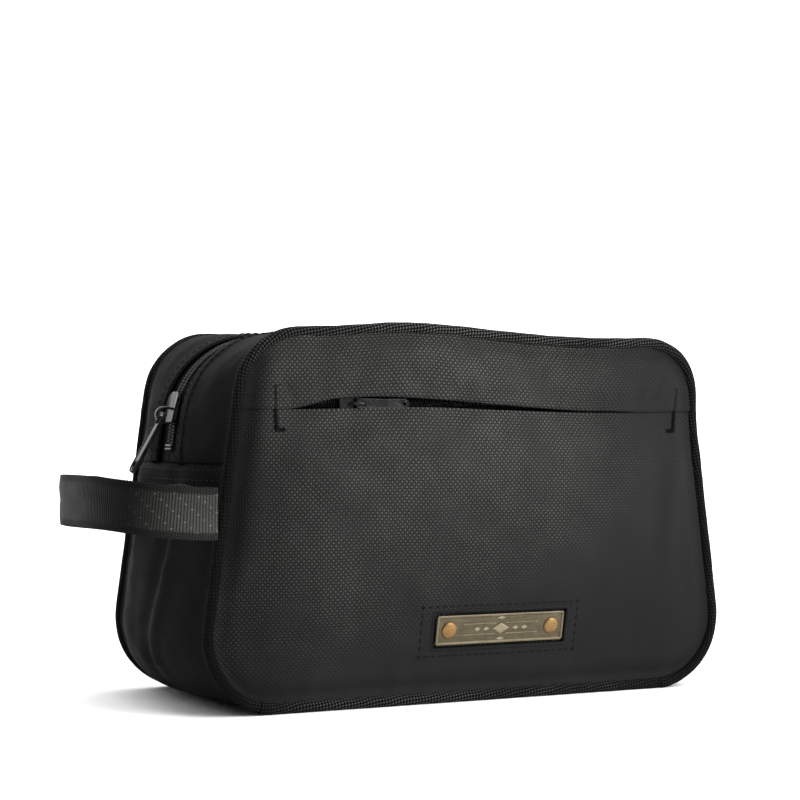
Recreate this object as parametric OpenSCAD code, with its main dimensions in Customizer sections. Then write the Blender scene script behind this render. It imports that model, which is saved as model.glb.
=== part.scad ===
// Shaving kit bag: a boxy canvas wash bag with piped front and back panels,
// a bulging gusset with a zipped mouth, a zipped slit pocket and a webbing side handle.
// +Z up, front towards -Y, the handle end towards -X, origin at the middle of the base on the ground.

/* [Bag] */
// Width of the front panel at its widest, low on the ends
bag_w = 270; // [220:1:330]
// Height from the ground to the top piping
bag_h = 170; // [140:1:205]
// Depth over both pipings
bag_d = 120; // [96:1:150]
// Lean of the two ends towards the top, in degrees
end_lean = 8; // [0:1:10]
// Radius of the panel's two top corners
top_r = 32; // [24:1:44]
// Radius of the panel's two bottom corners
bottom_r = 35; // [24:1:44]
// How far the gusset's ends swell past the piping
end_bulge = 7; // [0:0.5:10]
// Radius of the gusset's top corners along the main zip
zip_corner_r = 45; // [36:1:54]
// Height of the seam between the top gusset and the bottom gusset
seam_z = 111; // [80:1:115]

/* [Materials] */
// Thickness of the outer canvas
canvas_t = 1.8; // [1:0.1:2.5]
// Thickness of the lining
lining_t = 0.8; // [0.4:0.1:1.2]
// Thickness of the stiffening board in the base
board_t = 2.4; // [1.5:0.1:4]
// Diameter of the piping
piping_d = 5; // [4:0.5:7]
// How far the piping stands proud of the panels and the gusset
piping_proud = 1.5; // [1:0.1:2]

/* [Main zip] */
// Half the width of zip that shows between the two folded canvas edges
zip_show = 11; // [8:0.5:13]
// Width of zip tape sewn under the canvas on each side
zip_under = 5; // [3:0.5:7]
// Thickness of the zip tape
tape_t = 0.8; // [0.5:0.1:1]
// Width of one row of coil
coil_w = 2.4; // [1.8:0.1:3]
// Height of the coil over its tape
coil_h = 1.4; // [1:0.1:1.8]
// Length of the slider along the zip
slider_l = 14; // [10:0.5:16]
// Angle of the closed slider round the zip's corner, from level
slider_angle = 13.5; // [12:0.5:20]
// Length of the pull tab from its pivot to its tip
pull_l = 30; // [24:1:36]
// Width of the pull tab at its round end
pull_w = 7.4; // [6:0.2:9]
// Lean of the hanging pull tab away from straight down, in degrees
pull_lean = 30; // [10:1:40]
// Radius of the hole in the pull tab
pull_hole_r = 1.7; // [1.2:0.1:2.2]

/* [Pocket] */
// Height of the middle of the pocket's slit
pocket_z = 136.5; // [118:0.5:138]
// Half the length of the slit
slit_half = 97; // [70:1:104]
// Height of the slit
slit_h = 5.5; // [5.2:0.1:8]
// Depth of the pocket below the slit
pocket_drop = 82; // [60:1:84]
// Distance between the panel and the pocket's inner wall
pocket_gap = 5; // [4.8:0.1:7]
// Distance of the pocket slider's middle from the bag's middle
pocket_slider_x = -64; // [-84:1:-20]
// Length of the pocket's pull tab from its pivot
pocket_pull_l = 25; // [18:1:30]

/* [Handle] */
// Width of the webbing
strap_w = 23; // [18:1:27]
// Thickness of the webbing
strap_t = 1.6; // [1.2:0.1:2.2]
// Height of the middle of the webbing
strap_z = 88.5; // [70:0.5:92]
// How far the loop stands out from the piping
strap_reach = 50; // [42:1:60]

/* [Nameplate] */
// Width of the plate
plate_w = 67; // [50:1:80]
// Height of the plate
plate_h = 13.6; // [11:0.2:18]
// Thickness of the plate
plate_t = 1.6; // [1:0.1:2]
// Distance of the plate's middle from the bag's middle
plate_x = 10; // [-20:1:20]
// Height of the plate's middle
plate_z = 33.5; // [30:0.5:36]
// Distance between the two rivets
rivet_gap = 54; // [38:1:62]
// Diameter of a rivet head
rivet_d = 8; // [6:0.2:9]

/* [Hidden] */
$fn = 48;
arc_steps = 12;
small_gap = 0.4;      // clearance between a moving piece and its neighbour
zip_gap = 2;          // space between the two coil rows, where the slider's post runs
flat_edge = 3.5;      // width of gusset beside the piping that does not swell
full_half = 20;       // half width of the gusset's fully swollen middle
half_w = bag_w / 2;
half_d = bag_d / 2;
front_y = -half_d;
gusset_y = half_d - piping_d;                  // the gusset's edges, front and back
// heights that follow the bag when it is made lower or its zip corner rounder
seam_level = min(seam_z, bag_h - zip_corner_r - 14);
strap_level = min(strap_z, seam_level - strap_w / 2 - 11);
slit_z = min(pocket_z, bag_h - 33.5);
pocket_deep = min(pocket_drop, slit_z - plate_z - plate_h / 2 - 13);
skin = piping_proud;                           // inset of the canvas from the piping's outline
skin_in = skin + canvas_t;
panel_y = front_y + piping_proud;              // the front panel's outer face
panel_back_y = panel_y + canvas_t;
mid_w = bag_w + 2 * end_bulge;
mouth_half = min(corner_x(mid_w, zip_corner_r), corner_x(bag_w, top_r)) - 4;
coil_end_z = seam_level + 9;
stop_h = 3;
lining_in = max(skin_in + tape_t + small_gap, piping_d - 0.5); // inset of the lining
base_half = half_w - bottom_r;
pocket_wall_y = panel_back_y + pocket_gap;
lining_y = pocket_wall_y + lining_t;
lining_back_y = min(half_d - piping_proud - canvas_t - lining_t, gusset_y + piping_d * 0.2);
lining_r = max(top_r, zip_corner_r - 13);      // the lining's top corners clear the zip's
thread_t = 0.4;

// zip slider: a plate each side of the coil, joined by a post, with a crown ring for the pull
plate_gap = small_gap;
slider_plate_t = 1.2;
slider_half = zip_gap / 2 + coil_w + plate_gap + 0.9;
crown_r = 3.4;
crown_hole_r = 2;
crown_w = 2.6;
zip_cx = corner_x(mid_w, zip_corner_r);
zip_cz = bag_h - zip_corner_r;
slider_top_r = zip_corner_r - skin_in + coil_h + plate_gap + slider_plate_t;
pivot_r = slider_top_r + crown_r - 0.4;
pivot_angle = slider_angle - 5.5;
pivot_x = -(zip_cx + pivot_r * cos(pivot_angle));
pivot_z = zip_cz + pivot_r * sin(pivot_angle);

// the pocket's lighter zip, set back behind the slit
pocket_plate_t = 0.9;
pocket_coil_h = 1.1;
pocket_coil_w = 1.8;
pocket_tape_t = 0.6;
pocket_tape_w = 14;
pocket_slider_half = 3.6;
pocket_slider_l = 12;
pocket_crown_r = 2.3;
pocket_crown_hole_r = 1.25;
pocket_coil_y = panel_back_y + small_gap - 0.1 + pocket_plate_t + small_gap - 0.1;
pocket_tape_y = pocket_coil_y + pocket_coil_h;
pocket_pivot_y = panel_back_y + 0.3 - pocket_crown_r + 0.4;
pocket_pivot_x = pocket_slider_x + 3;
pocket_half = slit_half + 9;
pocket_top = slit_z + pocket_tape_w + 1.5;

// the handle turns about the middle of its rounded roots
anchor_l = 5;
strap_y = gusset_y - strap_t / 2;
wall_at_strap = wall_x(bag_w, strap_level) - skin / cos(end_lean);
strap_pivot_x = -(wall_at_strap + anchor_l + small_gap + strap_w / 2);

plate_gap_round = 1.6;   // turned canvas edge round the nameplate
backing_t = 1;
washer_t = 0.8;
rivet_shank_r = 1.5;
clinch_t = 0.6;

// ---- outlines: each is a list of [x, z] points, d in from the outer edge ----

function wall_c(w) = (w / 2 - bottom_r) * cos(end_lean) + bottom_r * sin(end_lean) + bottom_r;
function corner_x(w, r) = (wall_c(w) - r - (bag_h - r) * sin(end_lean)) / cos(end_lean);
function wall_x(w, z) = (wall_c(w) - z * sin(end_lean)) / cos(end_lean);
function wall_pt(w, z, d) = [wall_x(w, z) - d * cos(end_lean), z - d * sin(end_lean)];
function arc(cx, cz, r, a0, a1, sag = 0) =
    [for (i = [0 : arc_steps]) let (a = a0 + (a1 - a0) * i / arc_steps)
        [cx + r * cos(a), cz + r * sin(a) + sag * min(0, sin(a))]];
function mirrored(p) = [for (i = [len(p) - 1 : -1 : 0]) [-p[i][0], p[i][1]]];
function backwards(p) = [for (i = [len(p) - 1 : -1 : 0]) p[i]];
function panel_half(d) = concat(
    arc(half_w - bottom_r, bottom_r, bottom_r - d, -90, end_lean),
    arc(corner_x(bag_w, top_r), bag_h - top_r, top_r - d, end_lean, 90));
function outline(d) = concat(panel_half(d), mirrored(panel_half(d)));
function lining_half(d) = concat(
    arc(half_w - bottom_r, bottom_r, bottom_r - d, -90, end_lean),
    arc(corner_x(bag_w, lining_r), bag_h - lining_r, lining_r - d, end_lean, 90));
function lining_outline(d) = concat(lining_half(d), mirrored(lining_half(d)));

// the gusset's right top corner, from the mouth round to the seam
function top_path(w, r, d) = concat(
    [[mouth_half + small_gap / 2, bag_h - d]],
    arc(corner_x(w, r), bag_h - r, r - d, 90, end_lean),
    [wall_pt(w, seam_level, d)]);
// the gusset from the right seam round the base to the left seam
function base_half_path(w, d, sag) = concat(
    [wall_pt(w, seam_level, d)],
    arc(w / 2 - bottom_r, bottom_r, bottom_r - d, end_lean, -90, sag));
function base_path(w, d, sag) = concat(base_half_path(w, d, sag), mirrored(base_half_path(w, d, sag)));
// the zip's right corner for the coil, which stops short of the seam
function coil_path(d) = concat(
    [[mouth_half + small_gap / 2, bag_h - d]],
    arc(zip_cx, zip_cz, zip_corner_r - d, 90, end_lean),
    [wall_pt(mid_w, coil_end_z, d)]);

// share of the full swelling at a distance y from the bag's middle plane
function fullness(y) =
    let (u = min(1, max(0, (gusset_y - flat_edge - abs(y)) / (gusset_y - flat_edge - full_half))))
    1 - (1 - u) * (1 - u);
gusset_rows = [for (s = [1, 1 - flat_edge / gusset_y, 0.84, 0.74, 0.62, 0.5]) s * gusset_y];
front_rows = concat([for (y = gusset_rows) -y], [-full_half, -zip_show]);
back_rows = [for (i = [len(front_rows) - 1 : -1 : 0]) -front_rows[i]];
base_rows = concat([for (y = gusset_rows) -y], [-full_half, full_half], backwards(gusset_rows));

// ---- shared shapes ----

// extrudes a flat [x, z] shape from y0 to y1
module along_y(y0, y1) {
    translate([0, y1, 0]) rotate([90, 0, 0]) linear_extrude(y1 - y0) children();
}

// a closed frame between two insets of the panel outline
module frame_ring(d0, d1, y0, y1) {
    along_y(y0, y1) difference() {
        polygon(outline(d0));
        polygon(outline(d1));
    }
}

// a strip of even thickness between an outer and an inner path
module band(outer, inner, y0, y1) {
    along_y(y0, y1) polygon(concat(outer, backwards(inner)));
}

// a strip of canvas that follows one path at the piping and a fuller path at the bag's middle
module swelling_strip(outer_edge, outer_mid, inner_edge, inner_mid, rows) {
    n = len(outer_edge);
    m = len(rows);
    skins = [[outer_edge, outer_mid], [inner_edge, inner_mid]];
    points = [for (s = skins) for (y = rows) for (i = [0 : n - 1])
        let (f = fullness(y), q = s[0][i] * (1 - f) + s[1][i] * f) [q[0], y, q[1]]];
    in = n * m;
    across = [for (j = [0 : m - 2]) for (i = [0 : n - 2]) let (a = j * n + i, b = a + n)
        each [[a, b + 1, a + 1], [a, b, b + 1], [in + a, in + a + 1, in + b + 1], [in + a, in + b + 1, in + b]]];
    sides = [for (i = [0 : n - 2]) let (z = (m - 1) * n + i)
        each [[i, i + 1, in + i + 1], [i, in + i + 1, in + i], [z, in + z + 1, z + 1], [z, in + z, in + z + 1]]];
    ends = [for (j = [0 : m - 2]) let (a = j * n, b = a + n, c = a + n - 1, e = b + n - 1)
        each [[a, in + a, in + b], [a, in + b, b], [c, in + e, in + c], [c, e, in + e]]];
    polyhedron(points, concat(across, sides, ends));
}

// ---- canvas shell ----

module panel_flat() {
    polygon(outline(piping_d));
}

module slit_flat() {
    translate([-slit_half, slit_z - slit_h / 2]) square([2 * slit_half, slit_h]);
}

module front_panel_upper() {
    color([0.17, 0.17, 0.16]) along_y(panel_y, panel_back_y) difference() {
        intersection() {
            panel_flat();
            translate([-half_w, slit_z]) square([bag_w, bag_h]);
        }
        slit_flat();
    }
}

module front_panel_lower() {
    window_w = plate_w + 2 * plate_gap_round;
    window_h = plate_h + 2 * plate_gap_round;
    color([0.16, 0.16, 0.15]) along_y(panel_y, panel_back_y) difference() {
        intersection() {
            panel_flat();
            translate([-half_w, 0]) square([bag_w, slit_z]);
        }
        slit_flat();
        translate([plate_x - window_w / 2, plate_z - window_h / 2]) square([window_w, window_h]);
    }
}

module back_panel() {
    color([0.14, 0.14, 0.13])
        along_y(half_d - piping_proud - canvas_t, half_d - piping_proud) panel_flat();
}

// piping: a corded edge, drawn as two crossed frames of the panel outline
module piping_ring(y_out) {
    wide = piping_d * 0.6;
    spare = (piping_d - wide) / 2;
    frame_ring(0, piping_d, y_out + spare, y_out + spare + wide);
    frame_ring(spare, piping_d - spare, y_out, y_out + piping_d);
}

module front_piping() {
    color([0.12, 0.12, 0.11]) piping_ring(front_y);
}

module back_piping() {
    color([0.12, 0.12, 0.11]) piping_ring(gusset_y);
}

module bottom_gusset() {
    color([0.1, 0.1, 0.1]) swelling_strip(
        base_path(bag_w, skin, 0), base_path(mid_w, skin, skin),
        base_path(bag_w, skin_in, 0), base_path(mid_w, skin_in, skin), base_rows);
}

module gusset_corner(rows) {
    swelling_strip(
        top_path(bag_w, top_r, skin), top_path(mid_w, zip_corner_r, skin),
        top_path(bag_w, top_r, skin_in), top_path(mid_w, zip_corner_r, skin_in), rows);
}

module gusset_corner_left(rows) {
    swelling_strip(
        mirrored(top_path(bag_w, top_r, skin)), mirrored(top_path(mid_w, zip_corner_r, skin)),
        mirrored(top_path(bag_w, top_r, skin_in)), mirrored(top_path(mid_w, zip_corner_r, skin_in)), rows);
}

module gusset_corner_front_left() { color([0.1, 0.1, 0.1]) gusset_corner_left(front_rows); }
module gusset_corner_back_left() { color([0.1, 0.1, 0.1]) gusset_corner_left(back_rows); }
module gusset_corner_front_right() { color([0.1, 0.1, 0.1]) gusset_corner(front_rows); }
module gusset_corner_back_right() { color([0.1, 0.1, 0.1]) gusset_corner(back_rows); }

// the straight middle of the top gusset folds up about the piping when the mouth is opened
module mouth_strip(y0, y1) {
    run = 2 * mouth_half - small_gap;
    translate([-run / 2, y0, bag_h - skin_in]) cube([run, y1 - y0, canvas_t]);
}

module mouth_flap_front() { color([0.11, 0.11, 0.11]) mouth_strip(-gusset_y + small_gap, -zip_show); }
module mouth_flap_back() { color([0.11, 0.11, 0.11]) mouth_strip(zip_show, gusset_y - small_gap); }

// ---- main zip ----

tape_reach = zip_show + zip_under;

module tape_corner(y0, y1) {
    band(top_path(mid_w, zip_corner_r, skin_in), top_path(mid_w, zip_corner_r, skin_in + tape_t), y0, y1);
}

module tape_middle(y0, y1) {
    run = 2 * mouth_half - small_gap;
    translate([-run / 2, y0, bag_h - skin_in - tape_t]) cube([run, y1 - y0, tape_t]);
}

module coil_corner(y0, y1) {
    band(coil_path(skin_in - coil_h), coil_path(skin_in), y0, y1);
}

module coil_middle(y0, y1) {
    run = 2 * mouth_half - small_gap;
    translate([-run / 2, y0, bag_h - skin_in]) cube([run, y1 - y0, coil_h]);
}

coil_y0 = zip_gap / 2;
coil_y1 = zip_gap / 2 + coil_w;
tape_ink = [0.08, 0.08, 0.09];
coil_ink = [0.05, 0.05, 0.05];

module zip_tape_front_left() { color(tape_ink) mirror([1, 0, 0]) tape_corner(-tape_reach, -coil_y0); }
module zip_tape_back_left() { color(tape_ink) mirror([1, 0, 0]) tape_corner(coil_y0, tape_reach); }
module zip_tape_front_right() { color(tape_ink) tape_corner(-tape_reach, -coil_y0); }
module zip_tape_back_right() { color(tape_ink) tape_corner(coil_y0, tape_reach); }
module zip_tape_front_middle() { color(tape_ink) tape_middle(-tape_reach, -coil_y0); }
module zip_tape_back_middle() { color(tape_ink) tape_middle(coil_y0, tape_reach); }
module zip_coil_front_left() { color(coil_ink) mirror([1, 0, 0]) coil_corner(-coil_y1, -coil_y0); }
module zip_coil_back_left() { color(coil_ink) mirror([1, 0, 0]) coil_corner(coil_y0, coil_y1); }
module zip_coil_front_right() { color(coil_ink) coil_corner(-coil_y1, -coil_y0); }
module zip_coil_back_right() { color(coil_ink) coil_corner(coil_y0, coil_y1); }
module zip_coil_front_middle() { color(coil_ink) coil_middle(-coil_y1, -coil_y0); }
module zip_coil_back_middle() { color(coil_ink) coil_middle(coil_y0, coil_y1); }

// a staple across both coil rows at each end of the zip
module zip_stop() {
    low = coil_end_z - stop_h;
    outer = [wall_pt(mid_w, coil_end_z, skin), wall_pt(mid_w, low, skin)];
    inner = [wall_pt(mid_w, coil_end_z, skin_in), wall_pt(mid_w, low, skin_in)];
    band(outer, inner, -coil_y1, coil_y1);
}

module zip_stops() {
    color([0.15, 0.15, 0.15]) {
        zip_stop();
        mirror([1, 0, 0]) zip_stop();
    }
}

// one curved plate of the slider, between two radii about the zip's corner
module slider_sector(r0, r1, half_y) {
    half_a = slider_l / 2 / zip_corner_r * 180 / PI;
    along_y(-half_y, half_y) polygon(concat(
        arc(zip_cx, zip_cz, r1, slider_angle - half_a, slider_angle + half_a),
        arc(zip_cx, zip_cz, r0, slider_angle + half_a, slider_angle - half_a)));
}

module main_slider() {
    under_r = zip_corner_r - skin_in - tape_t - plate_gap;
    flange_r = zip_corner_r - skin_in + plate_gap;
    top_in_r = slider_top_r - slider_plate_t;
    color([0.07, 0.07, 0.07]) mirror([1, 0, 0]) {
        slider_sector(top_in_r, slider_top_r, slider_half);
        slider_sector(under_r - slider_plate_t, under_r, slider_half);
        slider_sector(under_r - 0.1, top_in_r + 0.1, zip_gap / 2 - small_gap);
        for (s = [-1, 1]) translate([0, s * (slider_half - 0.45), 0])
            slider_sector(flange_r, top_in_r + 0.1, 0.45);
        translate([-pivot_x, crown_w / 2, pivot_z]) rotate([90, 0, 0]) difference() {
            cylinder(r = crown_r, h = crown_w);
            translate([0, 0, -1]) cylinder(r = crown_hole_r, h = crown_w + 2);
        }
    }
}

// a pull tab hanging down from its pivot bar: half_bar is half the bar's thickness
module pull_flat(length, width, half_bar, eye_w, eye_l, head_w, hole_r) {
    end_r = width / 2;
    difference() {
        union() {
            translate([0, end_r - length]) circle(r = end_r);
            polygon([[-end_r, end_r - length], [end_r, end_r - length],
                [head_w / 2, half_bar], [-head_w / 2, half_bar]]);
        }
        translate([-eye_w / 2, -half_bar - eye_l]) square([eye_w, eye_l]);
        translate([0, end_r - length]) circle(r = hole_r);
    }
}

main_bar = 0.65;
module main_pull() {
    thick = 1.3;
    eye_w = crown_w + 2 * small_gap;
    color([0.07, 0.07, 0.07]) translate([pivot_x, 0, pivot_z]) rotate([0, pull_lean, 0])
        rotate([90, 0, 90]) translate([0, 0, -thick / 2]) linear_extrude(thick)
            pull_flat(pull_l, pull_w, main_bar, eye_w, crown_r + small_gap, eye_w + 2.6, pull_hole_r);
}

// ---- pocket ----

module pocket_strip(y0, y1, z0, z1, half_x) {
    translate([-half_x, y0, z0]) cube([2 * half_x, y1 - y0, z1 - z0]);
}

hem_inner = pocket_slider_half + small_gap;
module pocket_hem_upper() {
    color([0.14, 0.14, 0.13])
        pocket_strip(panel_back_y, pocket_tape_y, slit_z + hem_inner, slit_z + pocket_tape_w, slit_half + 6);
}
module pocket_hem_lower() {
    color([0.14, 0.14, 0.13])
        pocket_strip(panel_back_y, pocket_tape_y, slit_z - pocket_tape_w, slit_z - hem_inner, slit_half + 6);
}

post_half = 0.5;
pocket_tooth_z = post_half + small_gap;
module pocket_tape_upper() {
    color(tape_ink) pocket_strip(pocket_tape_y, pocket_tape_y + pocket_tape_t,
        slit_z + pocket_tooth_z, slit_z + pocket_tape_w, slit_half + 6);
}
module pocket_tape_lower() {
    color(tape_ink) pocket_strip(pocket_tape_y, pocket_tape_y + pocket_tape_t,
        slit_z - pocket_tape_w, slit_z - pocket_tooth_z, slit_half + 6);
}
module pocket_coil_upper() {
    color(coil_ink) pocket_strip(pocket_coil_y, pocket_tape_y,
        slit_z + pocket_tooth_z, slit_z + pocket_tooth_z + pocket_coil_w, slit_half);
}
module pocket_coil_lower() {
    color(coil_ink) pocket_strip(pocket_coil_y, pocket_tape_y,
        slit_z - pocket_tooth_z - pocket_coil_w, slit_z - pocket_tooth_z, slit_half);
}

module pocket_slider() {
    plate_y = pocket_coil_y - 0.3;
    under_y = pocket_tape_y + pocket_tape_t + 0.3;
    color([0.2, 0.2, 0.2]) translate([pocket_slider_x, 0, slit_z]) {
        for (y = [plate_y - pocket_plate_t, under_y])
            translate([-pocket_slider_l / 2, y, -pocket_slider_half])
                cube([pocket_slider_l, pocket_plate_t, 2 * pocket_slider_half]);
        translate([-pocket_slider_l / 2, plate_y - 0.1, -post_half])
            cube([4, under_y - plate_y + 0.2, 2 * post_half]);
        translate([pocket_pivot_x - pocket_slider_x, pocket_pivot_y, -0.9]) difference() {
            cylinder(r = pocket_crown_r, h = 1.8);
            translate([0, 0, -1]) cylinder(r = pocket_crown_hole_r, h = 4);
        }
    }
}

module pocket_pull() {
    thick = 1;
    color([0.2, 0.2, 0.2]) translate([pocket_pivot_x, pocket_pivot_y, slit_z])
        rotate([90, -90, 0]) translate([0, 0, -thick / 2]) linear_extrude(thick)
            pull_flat(pocket_pull_l, 4.4, 0.5, 2.5, pocket_crown_r + small_gap, 4.6, 1);
}

// the pocket's lining bag: a shallow tray behind the front panel
module pocket_bag() {
    low = slit_z - pocket_deep;
    rim = lining_t;
    color([0.2, 0.2, 0.21]) difference() {
        pocket_strip(panel_back_y, lining_y, low, pocket_top, pocket_half);
        pocket_strip(panel_back_y - 1, pocket_wall_y, low + rim, pocket_top - rim, pocket_half - rim);
    }
}

// bar tacks: a stitched bracket at each end of the slit
module pocket_bar_tacks() {
    reach = slit_half + 7.5;
    tall = 19;
    turn = 3.5;
    color([0.1, 0.1, 0.1]) for (s = [-1, 1]) translate([s * reach, panel_y - thread_t, slit_z - tall / 2 - 1.5]) {
        translate([-0.5, 0, 0]) cube([1, thread_t, tall]);
        for (z = [0, tall - 1]) translate([min(0, -s * turn), 0, z]) cube([turn, thread_t, 1]);
    }
}

// ---- inside ----

module lining_front() {
    color([0.22, 0.22, 0.23]) along_y(lining_y, lining_y + lining_t) polygon(outline(lining_in));
}
module lining_back() {
    color([0.22, 0.22, 0.23]) along_y(lining_back_y, lining_back_y + lining_t) polygon(outline(piping_d + 0.1));
}
// the lining round the ends and base, open under the mouth and beside the zip
module lining_gusset() {
    zip_clear = zip_show + zip_under + 0.5;
    color([0.21, 0.21, 0.22]) difference() {
        along_y(lining_y + lining_t, lining_back_y) difference() {
            polygon(lining_outline(lining_in));
            polygon(lining_outline(lining_in + lining_t));
        }
        translate([-mouth_half, -half_d, bag_h / 2]) cube([2 * mouth_half, bag_d, bag_h]);
        translate([-bag_w, -zip_clear, seam_level]) cube([2 * bag_w, 2 * zip_clear, bag_h]);
    }
}
module base_board() {
    half = base_half - 2;
    color([0.45, 0.38, 0.28]) translate([-half, lining_y + lining_t + 1, lining_in + lining_t])
        cube([2 * half, lining_back_y - lining_y - lining_t - 2, board_t]);
}

// ---- handle ----

// the webbing's plan outline: straight out from the seam, then round in a full curve
function strap_curve(reach, half) =
    [for (i = [0 : 40]) let (a = -90 + 180 * i / 40, c = max(0, cos(a)), s = sin(a))
        [-wall_x(bag_w, strap_level) - reach * pow(c, 0.72), half * sign(s) * pow(abs(s), 0.8)]];

module strap_solid() {
    inner = strap_curve(strap_reach - strap_t, strap_y - strap_t / 2);
    outer = strap_curve(strap_reach, strap_y + strap_t / 2);
    into = -wall_x(bag_w, strap_level) + 6;
    translate([0, 0, strap_level - strap_w / 2]) linear_extrude(strap_w)
        polygon(concat([[into, -strap_y - strap_t / 2]], outer, [[into, strap_y + strap_t / 2]],
            [[into, strap_y - strap_t / 2]], backwards(inner), [[into, -strap_y + strap_t / 2]]));
}

module handle_root(side) {
    color([0.25, 0.25, 0.25]) intersection() {
        difference() {
            strap_solid();
            along_y(-bag_d, bag_d) polygon(outline(skin));
        }
        translate([strap_pivot_x + strap_w / 2 + small_gap, side > 0 ? 0 : -bag_d, 0]) cube([bag_w, bag_d, bag_h]);
    }
}
module handle_root_front() { handle_root(-1); }
module handle_root_back() { handle_root(1); }

// the loop's two roots are rounded about the pivot, so that they turn clear of the sewn ends
module handle_loop() {
    color([0.25, 0.25, 0.25]) intersection() {
        strap_solid();
        union() {
            translate([strap_pivot_x - bag_w, -bag_d, 0]) cube([bag_w, 2 * bag_d, bag_h]);
            translate([strap_pivot_x, bag_d, strap_level]) rotate([90, 0, 0]) cylinder(r = strap_w / 2, h = 2 * bag_d);
        }
    }
}

// ---- nameplate ----

module rivet_places() {
    for (s = [-1, 1]) translate([plate_x + s * rivet_gap / 2, 0, plate_z]) children();
}
module drill(r, y0, y1) {
    translate([0, y1, 0]) rotate([90, 0, 0]) cylinder(r = r, h = y1 - y0);
}
plate_face_y = panel_back_y - plate_t;

module plate_backing() {
    w = plate_w + 22;
    h = plate_h + 18;
    color([0.13, 0.13, 0.12]) difference() {
        translate([plate_x - w / 2, panel_back_y, plate_z - h / 2]) cube([w, backing_t, h]);
        rivet_places() drill(rivet_shank_r + 0.1, panel_back_y - 1, panel_back_y + 3);
    }
}

// the plate with a raised rim and a plain pattern of bars and a lozenge
module nameplate() {
    rim = 1.2;
    rise = 0.5;
    bar_l = rivet_gap / 2 - rivet_d / 2 - plate_h / 2 - 2;
    color([0.55, 0.48, 0.32]) difference() {
        translate([plate_x, 0, plate_z]) {
            along_y(plate_face_y, panel_back_y) square([plate_w, plate_h], center = true);
            along_y(plate_face_y - rise, plate_face_y) difference() {
                square([plate_w, plate_h], center = true);
                square([plate_w - 2 * rim, plate_h - 2 * rim], center = true);
            }
            along_y(plate_face_y - rise, plate_face_y) {
                polygon([for (a = [0, 90, 180, 270]) plate_h * 0.34 * [1.6 * cos(a), sin(a)]]);
                for (s = [-1, 1]) for (z = [-1.6, 1.6])
                    translate([s * (plate_h / 2 + bar_l / 2 + 1), z]) square([bar_l, 0.8], center = true);
            }
        }
        rivet_places() drill(rivet_shank_r + 0.1, front_y - 1, 0);
    }
}

module nameplate_rivets() {
    r = rivet_d / 2;
    dome = 1.5;
    ball_r = (r * r + dome * dome) / (2 * dome);
    clinch_y = panel_back_y + backing_t + washer_t;
    color([0.62, 0.45, 0.28]) rivet_places() {
        translate([0, plate_face_y, 0]) intersection() {
            translate([0, ball_r - dome, 0]) sphere(r = ball_r);
            drill(r, -dome, 0);
        }
        drill(rivet_shank_r, plate_face_y - 0.2, clinch_y + 0.1);
        drill(rivet_shank_r + 0.8, clinch_y, clinch_y + clinch_t);
    }
}

module rivet_washers() {
    y0 = panel_back_y + backing_t;
    color([0.5, 0.48, 0.42]) rivet_places() difference() {
        drill(rivet_d / 2 - 0.5, y0, y0 + washer_t);
        drill(rivet_shank_r + 0.1, y0 - 1, y0 + 2);
    }
}

front_panel_upper();
front_panel_lower();
back_panel();
bottom_gusset();
front_piping();
back_piping();
gusset_corner_front_left();
gusset_corner_back_left();
gusset_corner_front_right();
gusset_corner_back_right();
zip_tape_front_left();
zip_tape_back_left();
zip_tape_front_right();
zip_tape_back_right();
zip_coil_front_left();
zip_coil_back_left();
zip_coil_front_right();
zip_coil_back_right();
zip_stops();
mouth_flap_front();
zip_tape_front_middle();
zip_coil_front_middle();
mouth_flap_back();
zip_tape_back_middle();
zip_coil_back_middle();
main_slider();
main_pull();
pocket_hem_upper();
pocket_hem_lower();
pocket_tape_upper();
pocket_tape_lower();
pocket_coil_upper();
pocket_coil_lower();
pocket_slider();
pocket_pull();
pocket_bag();
pocket_bar_tacks();
lining_front();
lining_back();
lining_gusset();
base_board();
handle_root_front();
handle_root_back();
handle_loop();
plate_backing();
nameplate();
nameplate_rivets();
rivet_washers();
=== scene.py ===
import math
import bpy
import bmesh
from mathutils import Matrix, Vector, noise


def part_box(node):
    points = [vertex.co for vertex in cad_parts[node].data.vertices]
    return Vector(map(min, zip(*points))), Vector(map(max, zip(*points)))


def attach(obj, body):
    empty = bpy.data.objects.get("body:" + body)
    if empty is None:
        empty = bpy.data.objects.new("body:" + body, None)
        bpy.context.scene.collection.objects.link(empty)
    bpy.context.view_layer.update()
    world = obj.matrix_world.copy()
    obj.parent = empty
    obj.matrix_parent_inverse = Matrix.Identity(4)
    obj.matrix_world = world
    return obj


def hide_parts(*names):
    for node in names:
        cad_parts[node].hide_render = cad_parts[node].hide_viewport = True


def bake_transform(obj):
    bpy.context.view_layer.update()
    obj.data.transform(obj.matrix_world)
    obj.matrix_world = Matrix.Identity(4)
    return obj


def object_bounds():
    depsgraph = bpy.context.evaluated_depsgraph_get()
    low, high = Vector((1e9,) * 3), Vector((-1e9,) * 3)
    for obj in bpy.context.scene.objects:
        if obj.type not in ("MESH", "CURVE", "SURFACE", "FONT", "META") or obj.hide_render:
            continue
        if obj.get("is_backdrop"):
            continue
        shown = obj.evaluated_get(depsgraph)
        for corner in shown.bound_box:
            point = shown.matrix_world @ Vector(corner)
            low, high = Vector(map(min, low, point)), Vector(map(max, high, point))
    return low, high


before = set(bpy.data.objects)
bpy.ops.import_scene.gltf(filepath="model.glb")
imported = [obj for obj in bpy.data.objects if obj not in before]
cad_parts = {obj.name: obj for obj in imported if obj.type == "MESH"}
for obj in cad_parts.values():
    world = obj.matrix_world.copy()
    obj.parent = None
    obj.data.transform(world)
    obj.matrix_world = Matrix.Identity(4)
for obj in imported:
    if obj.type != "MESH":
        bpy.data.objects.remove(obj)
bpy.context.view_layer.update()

print("stage: frame loaded")

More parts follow.
